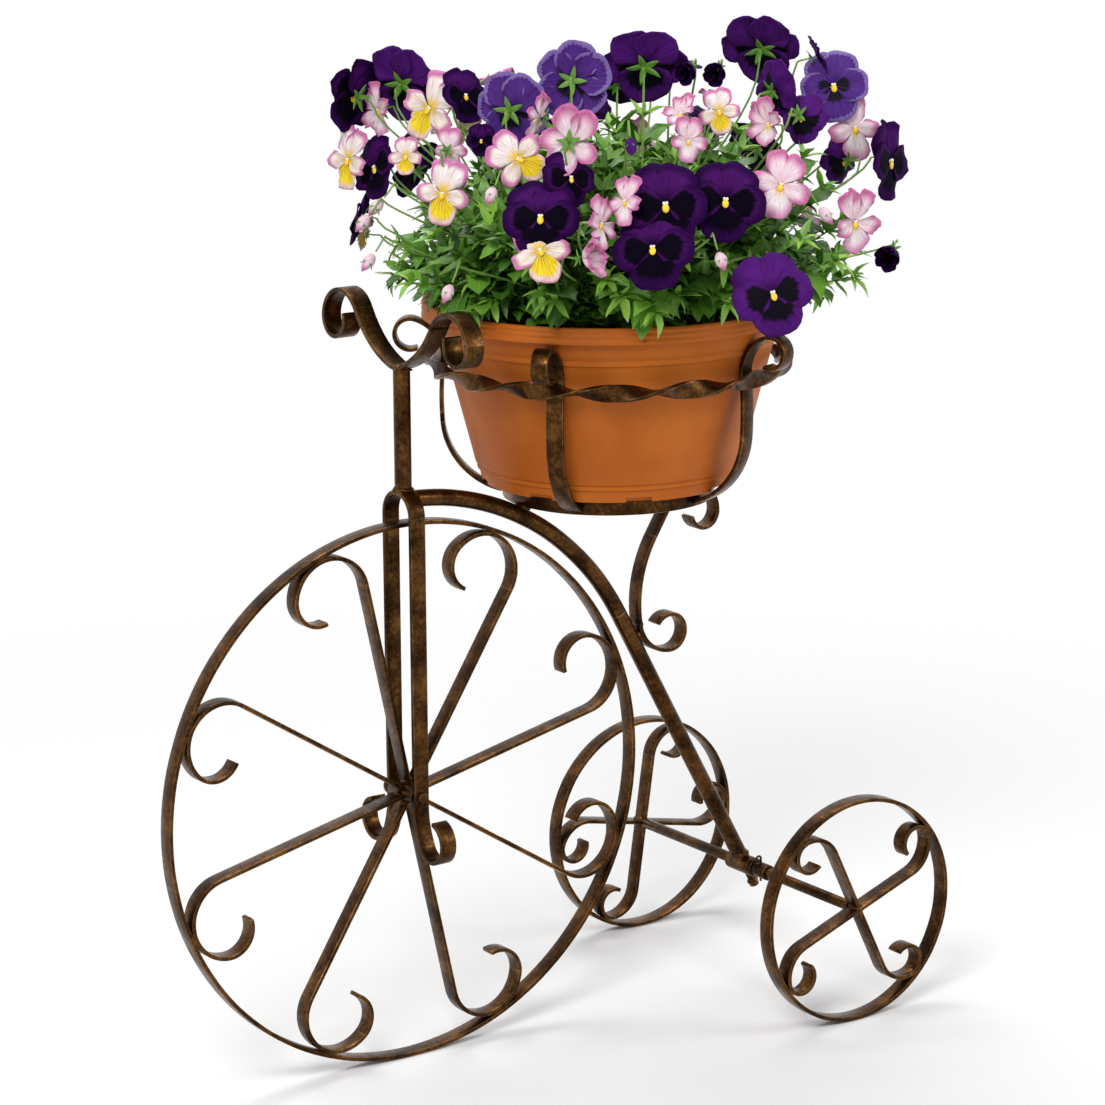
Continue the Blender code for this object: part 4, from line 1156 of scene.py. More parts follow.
for side in ("left", "right"):
    low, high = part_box(f"stop_ring_{side}")
    wire = half_size(f"stop_ring_{side}", 1)
    section = [(BORE_RADIUS + wire * (1 + math.cos(math.radians(turn))),
                -(low.y + high.y) / 2 + wire * math.sin(math.radians(turn)))
               for turn in range(0, 360, WIRE_TURN)]
    turned_piece(f"wire_ring_{side}", f"stop_ring_{side}", section, "rear_wheels", axle_place,
                 closed=True)
print("axle:", round(2 * axle_reach, 4), "long, sleeve:", round(2 * sleeve_half, 4))

# %% [markdown]
# ## The bolt and the pins
# A small set bolt sits under the sleeve, in line with the backbone. The split pin is a
# wire with an eye, so it is bent like the strips, from a much thinner round section.
# The front wheel's hub is a tube, and it turns on a headed pin in the fork's feet.

# %% Add the set bolt, the split pin and the front wheel's pin
# Radius and distance from the axle's middle, from the bolt's head to its point
BOLT_STEPS = ((0.0, 0.0223), (0.0040, 0.0223), (0.0040, 0.0191), (0.0046, 0.0191),
              (0.0046, 0.0175), (0.0031, 0.0175), (0.0031, 0.00505), (0.0, 0.00505))
SPLIT_WIRE = 0.0018
SPLIT_SIDES = 12
SPLIT_EYE = (0.0022, 290)
HUB_BORE = 0.0043
PIN_RADIUS = 0.0040
PIN_HEAD_DEPTH = 0.0040
PIN_ROUND = 0.0008
bolt_turn = Matrix.Rotation(math.atan2(math.sin(leave_angle), -math.cos(leave_angle)), 4, "Y")
turned_piece("flanged_set_bolt", "set_bolt", BOLT_STEPS, "frame",
             Matrix.Translation(REAR_HUB) @ bolt_turn)

split_low, split_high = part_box("split_pin")
split_start = Vector((0.0, -REAR_HUB.z + split_low.z))
split_rise = split_high.z - split_low.z - SPLIT_EYE[0] - SPLIT_WIRE / 2
split_runs = ((split_rise, 0), SPLIT_EYE)
work = bar_along(split_start, math.radians(90), split_runs, SPLIT_WIRE, SPLIT_SIDES)
split_place = Vector((REAR_HUB.x, (split_low.y + split_high.y) / 2, REAR_HUB.z))
carry(work, Matrix.Translation(split_place) @ SIDE_VIEW)
finish_iron("bent_split_pin", work, "rear_wheels", ["split_pin"])

hub_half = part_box("front_hub")[1].y
front_place = Matrix.Translation(FRONT_HUB) @ SIDE_VIEW
turned_piece("front_hub_tube", "front_hub", ring_profile(HUB_RADIUS, HUB_BORE, -hub_half, hub_half),
             "front_wheel", front_place, closed=True)
near, far = -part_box("front_wheel_pin")[0].y, -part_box("front_wheel_pin")[1].y
under_head = far + PIN_HEAD_DEPTH
pin_steps = ((0.0, near), (PIN_RADIUS, near), (PIN_RADIUS, under_head),
             (PIN_HEAD_RADIUS, under_head), (PIN_HEAD_RADIUS, far), (0.0, far))
turned_piece("front_pin", "front_wheel_pin", pin_steps, "frame", front_place, rounding=PIN_ROUND)
print("split pin:", round(split_rise, 4), "long, front pin:", round(near - far, 4))

# %% [markdown]
# ## Welds
# The pieces are joined by short beads of arc weld. Each bead is a small lumpy blob:
# an icosphere, flattened, with noise on its surface. All the beads of one body are one
# piece, because they never move apart.

# %% Shape a weld bead
BEAD_FINENESS = 3
LUMP_DEPTH = 0.28
LUMP_SCALE = 2.3
LUMP_SHIFT = 3.7
SMOOTH_ALL = 180


def lay_bead(work, place, size, seed):
    made = bmesh.ops.create_icosphere(work, subdivisions=BEAD_FINENESS, radius=1.0)
    for vert in made["verts"]:
        lump = 1 + LUMP_DEPTH * noise.noise(vert.co * LUMP_SCALE + Vector((seed, 0.0, 0.0)))
        vert.co = place + Vector(vert.co[axis] * size[axis] for axis in range(3)) * lump


def lay_beads(name, body, beads):
    work = bmesh.new()
    for seed, (place, size) in enumerate(beads):
        lay_bead(work, Vector(place), size, seed * LUMP_SHIFT)
    finish_piece(name, work, [iron], body, SMOOTH_ALL)
    print(name, "beads:", len(beads))


# %% [markdown]
# The frame has beads at the crown, under the handlebar, on the sleeve, under the ring,
# at the prop's back, and at each upright's foot and where it crosses the hoop.

# %% Lay the weld beads of the frame
def moved(place, offset):
    return tuple(value + step for value, step in zip(place, offset))


crown_top = (0.0, 0.0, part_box("fork")[1].z)
stem_top = (0.0, 0.0, stem_high.z)
sleeve_middle = (REAR_HUB.x, 0.0, REAR_HUB.z)
ring_rear = (HOLDER.x + RING_RADIUS, 0.0, RING_FOOT)
ring_front = (HOLDER.x - RING_RADIUS, 0.0, RING_FOOT)
leave = forwards(leave_angle)
axle_flat = Vector((REAR_HUB.x, REAR_HUB.z))
nearest = min(prop_points, key=lambda point: (point + prop_start - axle_flat).dot(leave)) + prop_start
# The joint, how far off it the bead lies along X, Y and Z, and the bead's half sizes
FRAME_BEADS = (
    (crown_top, (0.0, 0.0, 0.0), (0.0078, 0.0078, 0.0028)),
    (stem_top, (0.0, 0.0, 0.0), (0.0074, 0.0074, 0.0024)),
    (crown_top, (0.0075, 0.0, -0.0078), (0.0052, 0.0074, 0.0062)),
    (sleeve_middle, (-0.0045, 0.0, 0.0085), (0.0080, 0.0086, 0.0046)),
    (ring_rear, (-0.002, 0.0, 0.0), (0.0058, 0.0066, 0.0030)),
    (ring_front, (0.002, 0.0, 0.0), (0.0062, 0.0070, 0.0036)),
)
PROP_BEAD = ((nearest.x, 0.0, nearest.y), (-0.0012, 0.0, -0.0010), (0.0048, 0.0062, 0.0060))
FOOT_BEAD, FOOT_BEAD_OUT, FOOT_BEAD_RISE = (0.0040, 0.0040, 0.0030), 0.0005, 0.0052
HOOP_BEAD = (0.0034, 0.0034, 0.0040)
frame_beads = [(moved(joint, offset), size) for joint, offset, size in FRAME_BEADS]
# The upright's two long bends and the first half of its outward curl
wall_points = bent_path(upright_start, UPRIGHT_LEAN, UPRIGHT_BENDS)[:2 * PATH_STEPS + PATH_STEPS // 2]
wall = min(wall_points, key=lambda point: abs(point.y - hoop_height)).x
for index in range(UPRIGHT_COUNT):
    out = outwards(turn_of(UPRIGHT_ANGLE, index, UPRIGHT_COUNT))
    foot = Vector((HOLDER.x, HOLDER.y, RING_FOOT + FOOT_BEAD_RISE))
    foot += out * (RING_RADIUS + FOOT_BEAD_OUT)
    joint = Vector((HOLDER.x, HOLDER.y, hoop_height)) + out * (wall - STRIP_THICKNESS / 2)
    frame_beads += [(foot, FOOT_BEAD), (joint, HOOP_BEAD)]
frame_beads.append((moved(*PROP_BEAD[:2]), PROP_BEAD[2]))
lay_beads("frame_welds", "frame", frame_beads)

# %% [markdown]
# In the wheels a bead lies where a curl's back touches the hoop, and one at each
# spoke's foot or where the bars cross. The touching place is the point of the bent
# strip's path that is farthest from the hub.

# %% Lay the weld beads of the wheels
RIM_BEAD, RIM_BEAD_OUT = (0.0032, 0.0050, 0.0032), 0.0014
HUB_BEAD, HUB_BEAD_OUT = (0.0028, 0.0062, 0.0028), 0.0006
CROSSING_BEAD = (0.0050, 0.0068, 0.0050)
REAR_BEAD, REAR_BEAD_REACH = (0.0030, 0.0046, 0.0030), 1.012


def farthest(points):
    return max(points, key=lambda point: point.length)


def turned_flat(point, angle):
    """A point of the drawing plane, turned about the hub and stood up."""
    turned = Matrix.Rotation(angle, 3, "Z") @ Vector((point.x, point.y, 0.0))
    return Vector((turned.x, 0.0, turned.y))


tip = farthest(bent_path((HUB_RADIUS, 0.0), 0.0, spoke_runs))
wheel_beads = []
for index in range(SPOKE_COUNT):
    angle = turn_of(SPOKE_ANGLE, index, SPOKE_COUNT)
    for flat, size in ((tip * (1 + RIM_BEAD_OUT / tip.length), RIM_BEAD),
                       (Vector((HUB_RADIUS + HUB_BEAD_OUT, 0.0)), HUB_BEAD)):
        wheel_beads.append((FRONT_HUB + turned_flat(flat, angle), size))
lay_beads("front_wheel_welds", "front_wheel", wheel_beads)

rear_beads = []
for side, (angles, curls) in REAR_WHEELS.items():
    hub = middle(f"{side}_rim")
    rear_beads.append((hub, CROSSING_BEAD))
    for angle, curl in zip(angles, curls):
        tip = farthest(bent_path((0.0, 0.0), 0.0, arm_runs(0.0, curl)))
        for half in (0.0, math.pi):
            reach = turned_flat(tip, math.radians(angle) + half) * REAR_BEAD_REACH
            rear_beads.append((hub + reach, REAR_BEAD))
lay_beads("rear_wheel_welds", "rear_wheels", rear_beads)

# %% [markdown]
# ## The pot
# The pot is one thin moulded shell: a ridged rim, a plain neck, a ribbed body and a
# plain foot band with small drain notches under it. Its outside and inside are drawn
# as one profile, from the rim down the outside, over the floor and up inside again.

# %% Draw the pot's profile
POT_RIM_DEPTH = 0.0121
POT_RIM_RIDGES = 3
POT_RIDGE_DEPTH = 0.0011
POT_NECK_DEPTH = 0.0142
POT_NECK_RADIUS = 0.1330
POT_BODY_RADIUS = 0.1272
POT_BASE_RADIUS = 0.0964
POT_GROOVE = 0.0014
POT_GROOVE_PITCH = 0.0042
POT_STEP = 0.0009
POT_BAND_RISE = 0.0093
POT_WALL = 0.0028
POT_NOTCH_HEIGHT = 0.0034
POT_NOTCH_DEPTH = 0.0052
pot_low, pot_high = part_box("pot")
POT_HEIGHT = pot_high.z - pot_low.z
POT_RIM_RADIUS = half_size("pot", 0)
POT_PLACE = Matrix.Translation((HOLDER.x, HOLDER.y, pot_low.z))
lip = POT_HEIGHT - POT_RIM_DEPTH
neck = lip - POT_NECK_DEPTH


def pot_outside():
    """Outer side from the rim down, with its ridges and its stepped grooves."""
    outside = [(POT_RIM_RADIUS - POT_RIDGE_DEPTH, POT_HEIGHT)]
    for ridge in range(POT_RIM_RIDGES):
        crest = POT_HEIGHT - POT_RIM_DEPTH * (ridge + 1 / 2) / POT_RIM_RIDGES
        valley = POT_HEIGHT - POT_RIM_DEPTH * (ridge + 1) / POT_RIM_RIDGES
        outside.append((POT_RIM_RADIUS, crest))
        outside.append((POT_RIM_RADIUS - POT_RIDGE_DEPTH, valley))
    outside[-1] = (POT_RIM_RADIUS, lip)
    outside.append((POT_NECK_RADIUS, lip))
    outside.append((POT_NECK_RADIUS - POT_GROOVE, (lip + neck) / 2))
    outside.append((POT_BODY_RADIUS + POT_GROOVE, neck + POT_GROOVE))
    outside.append((POT_BODY_RADIUS, neck))
    slope = (POT_BODY_RADIUS - POT_BASE_RADIUS) / neck
    for rise in (neck - POT_GROOVE_PITCH, POT_BAND_RISE + POT_GROOVE_PITCH, POT_BAND_RISE):
        radius = POT_BASE_RADIUS + slope * rise
        outside.append((radius + POT_STEP, rise + POT_STEP / 3))
        outside.append((radius - POT_STEP, rise - POT_STEP / 3))
    return outside + [(POT_BASE_RADIUS, 0.0)]


def pot_inside():
    """The floor and the inner side up to the rim."""
    floor = POT_WALL + POT_NOTCH_HEIGHT
    return [
        (0.0, 0.0),
        (0.0, floor),
        (POT_BASE_RADIUS - POT_NOTCH_DEPTH - POT_WALL, floor),
        (POT_BODY_RADIUS - POT_WALL - POT_GROOVE, neck),
        (POT_NECK_RADIUS - POT_WALL - POT_GROOVE, lip),
        (POT_RIM_RADIUS - POT_WALL - POT_RIDGE_DEPTH, POT_HEIGHT),
    ]


print("pot:", round(POT_HEIGHT, 4), "high,", round(2 * POT_RIM_RADIUS, 4), "across")

# %% [markdown]
# The profile is spun about Z. A Boolean cuts eight cubes out of the shell for the
# notches, and the edges are bevelled last, when the notches have theirs too.

# %% Spin the pot and cut its notches
POT_SPIN_STEPS = 160
POT_NOTCHES = 8
POT_NOTCH_WIDTH = 0.020
POT_ROUND = 0.0003
POT_SHARP_ANGLE = 28
POT_SMOOTH_ANGLE = 40


def pot_notches():
    notches = bmesh.new()
    for index in range(POT_NOTCHES):
        size = Matrix.Diagonal((2 * POT_NOTCH_DEPTH, POT_NOTCH_WIDTH, 2 * POT_NOTCH_HEIGHT, 1.0))
        turn = Matrix.Rotation(2 * math.pi * (index + 1 / 2) / POT_NOTCHES, 4, "Z")
        where = turn @ Matrix.Translation((POT_BASE_RADIUS, 0.0, 0.0))
        bmesh.ops.create_cube(notches, size=1.0, matrix=where @ size)
    return mesh_object("pot notches", notches)


def cut(obj, cutter):
    """The object's mesh as a new bmesh, after the cutter is taken out of it."""
    modifier = obj.modifiers.new("cut", "BOOLEAN")
    modifier.solver = "EXACT"
    modifier.object = cutter
    bpy.context.view_layer.update()
    evaluated = obj.evaluated_get(bpy.context.evaluated_depsgraph_get())
    work = bmesh.new()
    work.from_mesh(evaluated.to_mesh())
    evaluated.to_mesh_clear()
    bpy.data.objects.remove(obj, do_unlink=True)
    bpy.data.objects.remove(cutter, do_unlink=True)
    return work


def spin_pot():
    shell = mesh_object("pot shell", lathe(pot_outside() + pot_inside(), POT_SPIN_STEPS, True))
    work = cut(shell, pot_notches())
    bmesh.ops.remove_doubles(work, verts=work.verts, dist=WIDE_MERGE)
    round_edges(work, POT_ROUND, POT_SHARP_ANGLE)
    carry(work, POT_PLACE)
    piece = finish_piece("moulded_pot", work, [terracotta], "potted_plants",
                         POT_SMOOTH_ANGLE)
    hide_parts("pot")
    print("faces of the pot:", len(piece.data.polygons))


spin_pot()

# %% [markdown]
# ## The potting mix
# Peat is nearly black with brown fibres in it, and the white grains are perlite. Both
# are rough and matt, and a strong bump makes the small grain that no mesh needs.

# %% Make the potting mix's finishes
MIX_ROUGHNESS = 0.9
MIX_GRAIN = (260.0, 6.0, 0.75)
MIX_SHADES = ((0.40, (0.010, 0.006, 0.003)), (0.56, (0.045, 0.026, 0.013)),
              (0.74, (0.105, 0.066, 0.036)))
MIX_BUMP = (0.9, 0.002)
PERLITE_ROUGHNESS = 0.85
PERLITE_GRAIN = 500.0
PERLITE_SHADES = ((0.3, (0.42, 0.40, 0.36)), (0.7, (0.74, 0.72, 0.68)))


def make_potting_mix():
    material, tree, shader = new_finish("potting mix", MIX_ROUGHNESS)
    grains = mottle(tree, *MIX_GRAIN)
    coloured(tree, shader, ramp(tree, grains, MIX_SHADES))
    bumped(tree, shader, grains, *MIX_BUMP)
    return material


def make_perlite():
    material, tree, shader = new_finish("perlite grains", PERLITE_ROUGHNESS)
    coloured(tree, shader, ramp(tree, mottle(tree, PERLITE_GRAIN), PERLITE_SHADES))
    return material


potting_mix, perlite = make_potting_mix(), make_perlite()
print("finishes:", potting_mix.name, perlite.name)

# %% [markdown]
# The mix fills the pot to just under its rim. Its top is a fine grid of lathe rings
# pushed up and down by two sizes of noise.

# %% Shape the plug of mix
MIX_RINGS = 24
MIX_SPIN_STEPS = 90
MIX_CLEARANCE = 0.0003
MIX_SINK = 0.003
MIX_SKIN = 0.0005
MIX_MARGIN = 0.002
MIX_HUMPS = ((0.004, 60), (0.002, 210))
MIX_LOW, MIX_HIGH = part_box("potting_mix")
MIX_RADIUS = half_size("potting_mix", 0)


def plug_of_mix(top):
    """The plug with its humped top."""
    floor = MIX_LOW.z - pot_low.z
    rings = [(MIX_RADIUS * ring / MIX_RINGS, top) for ring in range(MIX_RINGS + 1)]
    sides = [
        (POT_BODY_RADIUS - POT_WALL - POT_GROOVE - MIX_CLEARANCE, neck),
        (POT_BASE_RADIUS - POT_NOTCH_DEPTH - POT_WALL - MIX_CLEARANCE, floor),
        (0.0, floor),
    ]
    work = lathe(rings + sides, MIX_SPIN_STEPS)
    for vert in work.verts:
        if vert.co.z > top - MIX_SKIN and vert.co.xy.length < MIX_RADIUS - MIX_MARGIN:
            vert.co.z += sum(height * noise.noise(vert.co * scale) for height, scale in MIX_HUMPS)
    return work


print("mix:", round(2 * MIX_RADIUS, 4), "across")

# %% [markdown]
# Loose crumbs lie on the mix, each a small icosphere with lumps, and every ninth one is
# a white grain.

# %% Fill the pot
MIX_SEED = 11
CRUMBS = 420
CRUMB_MARGIN = 0.006
CRUMB_SIZES = (0.0009, 0.0034)
CRUMB_LUMP, CRUMB_LUMP_SCALE, CRUMB_LUMP_SHIFT = 0.35, 400, 90
PERLITE_EVERY = 9
SMOOTH_ROUND = 60


def drop_crumb(work, top, dice):
    """One crumb at a random place on the mix. Returns its vertices."""
    reach = (MIX_RADIUS - CRUMB_MARGIN) * math.sqrt(dice.random())
    around = dice.uniform(0, 2 * math.pi)
    size = dice.uniform(*CRUMB_SIZES)
    place = Vector((reach * math.cos(around), reach * math.sin(around), top + size / 2))
    made = bmesh.ops.create_icosphere(work, subdivisions=1, radius=size)
    for vert in made["verts"]:
        lump = noise.noise(vert.co * CRUMB_LUMP_SCALE + place * CRUMB_LUMP_SHIFT)
        vert.co = vert.co * (1 + CRUMB_LUMP * lump) + place
    return made["verts"]


def fill_pot():
    top = MIX_HIGH.z - pot_low.z - MIX_SINK
    work = plug_of_mix(top)
    dice = random.Random(MIX_SEED)
    for index in range(CRUMBS):
        crumb = drop_crumb(work, top, dice)
        if index % PERLITE_EVERY == 0:
            for face in faces_of(crumb):
                face.material_index = 1
    carry(work, POT_PLACE)
    piece = finish_piece("damp_potting_mix", work, [potting_mix, perlite], "potted_plants",
                         SMOOTH_ROUND)
    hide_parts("potting_mix")


fill_pot()
print("crumbs on the potting mix:", CRUMBS)

# %% [markdown]
# ## Sheets for leaves and petals
# Hundreds of leaves and petals are needed, so each is a grid of a few dozen faces that
# one function bends into shape. The grid's own coordinates go into a UV map, which the
# veins and the streaks follow. New sheets start in a small bmesh, where operators are
# quick, and are then moved into the whole one.

# %% Lay out one sheet
LEAF_GRID = (4, 8)
LEAFLET_GRID = (2, 4)
UP = Vector((0.0, 0.0, 1.0))


def frame_towards(direction, upward):
    """Axes of a flat shape: across, along its length, and out of its face."""
    along = direction.normalized()
    face = (upward - upward.dot(along) * along).normalized()
    return Matrix((along.cross(face), along, face)).transposed()


def sheet_layers(work):
    return work.loops.layers.uv.new(SHEET_UV), work.verts.layers.float.new(SHEET_ROLE)


def add_sheet(work, layers, grid, shape, axes, place, role=0.0, slot=0):
    """A grid of faces whose (across, along) shares become points by the shape function."""
    made = bmesh.ops.create_grid(work, x_segments=grid[0], y_segments=grid[1], size=0.5)
    shares = {}
    for vert in made["verts"]:
        across, along = vert.co.x + 0.5, vert.co.y + 0.5
        shares[vert] = (across, along)
        vert.co = place + axes @ shape(across, along)
        vert[layers[1]] = role
    for face in faces_of(made["verts"]):
        face.material_index = slot
        for loop in face.loops:
            loop[layers[0]].uv = shares[loop.vert]


class Sheets:
    def __init__(self):
        self.whole = bmesh.new()
        self.store = bpy.data.meshes.new("sheets")
        self.start_part()

    def start_part(self):
        self.part = bmesh.new()
        self.layers = sheet_layers(self.part)

    def add(self, *sheet, **choices):
        add_sheet(self.part, self.layers, *sheet, **choices)

    def gather(self):
        """Moves the small bmesh's faces into the whole one."""
        self.part.to_mesh(self.store)
        self.part.free()
        self.whole.from_mesh(self.store)
        self.start_part()


# %% [markdown]
# ## The shape of a leaf
# A pansy's leaf is a scalloped oval. Its half width is a sine that swells and tapers,
# less a cosine that scallops it. The leaf folds a little along its midrib, droops
# towards its tip and waves at its sides. With one lobe it serves as a narrow leaflet.

# %% Shape a leaf
SWELL_START, SWELL_RUN, SWELL_POWER = 0.06, 0.94, 0.75
LEAST_SWELL = 0.035
LEAF_WAVE, WAVES_ALONG, WAVES_ACROSS = 0.10, 7, 3
DROOP_SHORTENS = 0.12


def leaf_shape(length, width, droop, fold, lobes, depth, seed, blunt=0.72):
    """A scalloped oval leaf as a function of the shares across and along."""
    def shape(across, along):
        swell = math.sin(math.pi * min(1.0, SWELL_START + SWELL_RUN * along) ** blunt) ** SWELL_POWER
        scallop = 1 - depth * (0.5 + 0.5 * math.cos(2 * math.pi * lobes * along))
        half = width / 2 * max(LEAST_SWELL, swell * scallop)
        offset = 2 * across - 1
        side = offset * half
        wave = math.sin(WAVES_ALONG * along + WAVES_ACROSS * offset + seed)
        wave = LEAF_WAVE * width * wave * abs(offset)
        return Vector((side, length * along * (1 - DROOP_SHORTENS * droop * along),
                       fold * abs(side) + wave - droop * length * along ** 2))
    return shape


print("tip of a plain leaf:", leaf_shape(1.0, 0.6, 0.3, 0.3, 1, 0.0, 0.0)(0.5, 1.0))

# %% [markdown]
# ## Stalks
# Every stem and flower stalk is a smooth tapering line, led by four points. The lines
# are splines of one curve object with a round bevel, because a curve gives each line
# its thickness by itself.

# %% Draw out stalks
STALK_TAPER = 0.75
SHOOT_STEPS = 9
STALK_BEVEL_STEPS = 1


def curve_point(points, share):
    """A point on a cubic curve and the direction of travel there."""
    first, second, third, last = points
    rest = 1 - share
    place = (first * rest ** 3 + second * 3 * rest ** 2 * share + third * 3 * rest * share ** 2
             + last * share ** 3)
    travel = ((second - first) * rest ** 2 + (third - second) * 2 * rest * share
              + (last - third) * share ** 2)
    return place, travel.normalized()


def add_stalk(curves, points, radius, steps=SHOOT_STEPS):
    """One stalk as a smooth line of points in a curve object's data."""
    spline = curves.splines.new("POLY")
    spline.points.add(steps - 1)
    for index, control in enumerate(spline.points):
        share = index / (steps - 1)
        control.co = (*curve_point(points, share)[0], 1.0)
        control.radius = radius * (1 - share * (1 - STALK_TAPER))


def new_stalks(name):
    curves = bpy.data.curves.new(name, "CURVE")
    curves.dimensions = "3D"
    curves.bevel_depth = 1.0
    curves.bevel_resolution = STALK_BEVEL_STEPS
    curves.use_fill_caps = True
    curves.materials.append(stalk_green)
    return curves


# %% [markdown]
# All pieces of the planting stand for the one solid of the imported model. The stalks'
# curve object becomes a mesh first.

# %% Finish pieces of the planting
def finish_plants(name, work, finishes, smooth_angle=SMOOTH_ALL):
    """A piece of the planting."""
    piece = finish_piece(name, work, finishes, "potted_plants", smooth_angle)
    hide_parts("flowering_plants")
    print(name, "faces:", len(piece.data.polygons))
    return piece


def finish_stalks(name, curves):
    """The stalks as one mesh piece."""
    obj = add_object(name, curves)
    bpy.context.view_layer.update()
    mesh = bpy.data.meshes.new_from_object(obj.evaluated_get(bpy.context.evaluated_depsgraph_get()))
    bpy.data.objects.remove(obj, do_unlink=True)
    work = bmesh.new()
    work.from_mesh(mesh)
    bmesh.ops.remove_doubles(work, verts=work.verts, dist=MERGE)
    finish_plants(name, work, [stalk_green], SMOOTH_ROUND)


# %% [markdown]
# ## Leaves on a shoot
# At every node a shoot has one scalloped leaf and a ruff of narrow cut leaflets. No two
# are alike: one run of random numbers with a fixed start gives each its own length,
# width, fold and droop, and its own shade of green.

# %% Add leaves and leaflets
LEAF_SEED = 5
ANY_WAVE = (0, 6)
FACES_OUT = 0.3
LEAF_WIDTHS, LEAF_DROOPS, LEAF_FOLDS = (0.58, 0.78), (0.15, 0.55), (0.1, 0.45)
LEAF_LOBES, LEAF_SCALLOP, LEAF_BLUNTNESS = 3.5, 0.30, 1.0
LEAFLET_LENGTHS, LEAFLET_WIDTHS = (0.012, 0.021), (0.26, 0.40)
LEAFLET_DROOPS, LEAFLET_FOLDS = (-0.1, 0.5), (0.2, 0.6)
leaves = Sheets()
leaflets = Sheets()
leaf_dice = random.Random(LEAF_SEED)


def add_leaf(place, heading, out, length, brightest=1.0):
    width = length * leaf_dice.uniform(*LEAF_WIDTHS)
    shape = leaf_shape(length, width, leaf_dice.uniform(*LEAF_DROOPS), leaf_dice.uniform(*LEAF_FOLDS),
                       LEAF_LOBES, LEAF_SCALLOP, leaf_dice.uniform(*ANY_WAVE), LEAF_BLUNTNESS)
    axes = frame_towards(heading, UP + out * FACES_OUT)
    leaves.add(LEAF_GRID, shape, axes, place, role=leaf_dice.random() * brightest)


def add_leaflet(place, heading, out, high):
    length = leaf_dice.uniform(*LEAFLET_LENGTHS)
    shape = leaf_shape(length, length * leaf_dice.uniform(*LEAFLET_WIDTHS),
                       leaf_dice.uniform(*LEAFLET_DROOPS), leaf_dice.uniform(*LEAFLET_FOLDS),
                       1, 0.0, leaf_dice.uniform(*ANY_WAVE))
    axes = frame_towards(heading, UP + out * FACES_OUT)
    leaflets.add(LEAFLET_GRID, shape, axes, place, role=leaf_dice.random(), slot=1 if high else 0)


# %% [markdown]
# A node turns its leaves round the shoot, and all of them lean forward along it. The
# nodes are spread up to the shoot's tip, where the leaflets are young and bright.

# %% Grow the nodes of a shoot
NODES_PER_SHOOT = 6
LEAFLETS = 4
NODE_TURN, NODE_JITTER = 2.4, (-0.5, 0.5)
OUTWARD, FORWARD, UPWARD = 0.9, 0.75, (-0.05, 0.35)
NEVER_ZERO = 0.01
LEAF_OUT = 0.3
LEAF_LENGTHS = (0.018, 0.031)
YOUNG_FROM = 0.97
SHOOT_RADIUS = 0.0010


def grow_node(place, travel, out, number, high):
    """One node of a shoot: a leaf to one side and a ruff of leaflets."""
    across = (travel.cross(UP) + travel * NEVER_ZERO).normalized()
    turn = number * NODE_TURN + leaf_dice.uniform(*NODE_JITTER)
    for leaflet in range(LEAFLETS + 1):
        spin = Matrix.Rotation(turn + 2 * math.pi * leaflet / (LEAFLETS + 1), 3, travel)
        heading = spin @ across * OUTWARD + travel * FORWARD + UP * leaf_dice.uniform(*UPWARD)
        if leaflet == 0 and not high or leaflet == 2 and number % 2 == 0:
            add_leaf(place, heading + out * LEAF_OUT, out, leaf_dice.uniform(*LEAF_LENGTHS))
        else:
            add_leaflet(place, heading, out, high)


def grow_shoot(curves, points, out, first):
    add_stalk(curves, points, SHOOT_RADIUS)
    for number in range(NODES_PER_SHOOT):
        share = first + (1 - first) * number / (NODES_PER_SHOOT - 1)
        place, travel = curve_point(points, share)
        grow_node(place, travel, out, number, share > YOUNG_FROM)
    leaves.gather()
    leaflets.gather()


# %% [markdown]
# ## The mound
# Each shoot rises from the mix, bends outward and ends on the mound that the plants
# form together. Each is a golden share of a turn on from the last, as seeds are in a
# sunflower, so they spread evenly. Every second outer one stays low and hangs out.

# %% Lay the lines of the shoots
SHOOTS = 230
GOLDEN_SHARE = 0.618034
AROUND_JITTER = (-0.1, 0.1)
OUTER_SHOOTS = 0.72
MOUND_REACH = 0.160
MOUND_RISE = 0.114
MOUND_ROUNDNESS = 0.95
LOW_RISES, LOW_REACHES = (0.10, 0.55), (0.98, 1.06)
HIGH_RISES, HIGH_REACHES = (0.72, 1.12), (0.86, 1.05)
SHOOT_FOOT, SHOOT_FEET = 0.104, (0.85, 1.0)
SHOOT_TOP = 0.016
SHOOT_START_UP, SHOOT_START_OUT = 0.024, 0.004
SHOOT_BEND_UP, SHOOT_BEND_OUT = 0.026, 0.008
ROOT = Vector((HOLDER.x, HOLDER.y, MIX_HIGH.z))


def shoot_curve(index):
    """The four control points of one shoot, and its outward direction."""
    around = 2 * math.pi * (index * GOLDEN_SHARE % 1.0) + leaf_dice.uniform(*AROUND_JITTER)
    lean = math.sqrt((index + 0.5) / SHOOTS)
    out = outwards(around)
    foot = ROOT + out * SHOOT_FOOT * lean * leaf_dice.uniform(*SHOOT_FEET)
    low = index > SHOOTS * OUTER_SHOOTS and index % 2 == 0
    rise = MOUND_RISE * math.sqrt(1 - (MOUND_ROUNDNESS * lean) ** 2)
    rise *= leaf_dice.uniform(*LOW_RISES) if low else leaf_dice.uniform(*HIGH_RISES)
    reach = leaf_dice.uniform(*LOW_REACHES) if low else leaf_dice.uniform(*HIGH_REACHES)
    end = ROOT + out * MOUND_REACH * lean * reach + UP * (rise + SHOOT_TOP)
    bend = foot.lerp(end, 0.5) + UP * SHOOT_BEND_UP + out * SHOOT_BEND_OUT
    return (foot, foot + UP * SHOOT_START_UP + out * SHOOT_START_OUT, bend, end), out


print("the first shoot rises from", [round(value, 3) for value in ROOT])

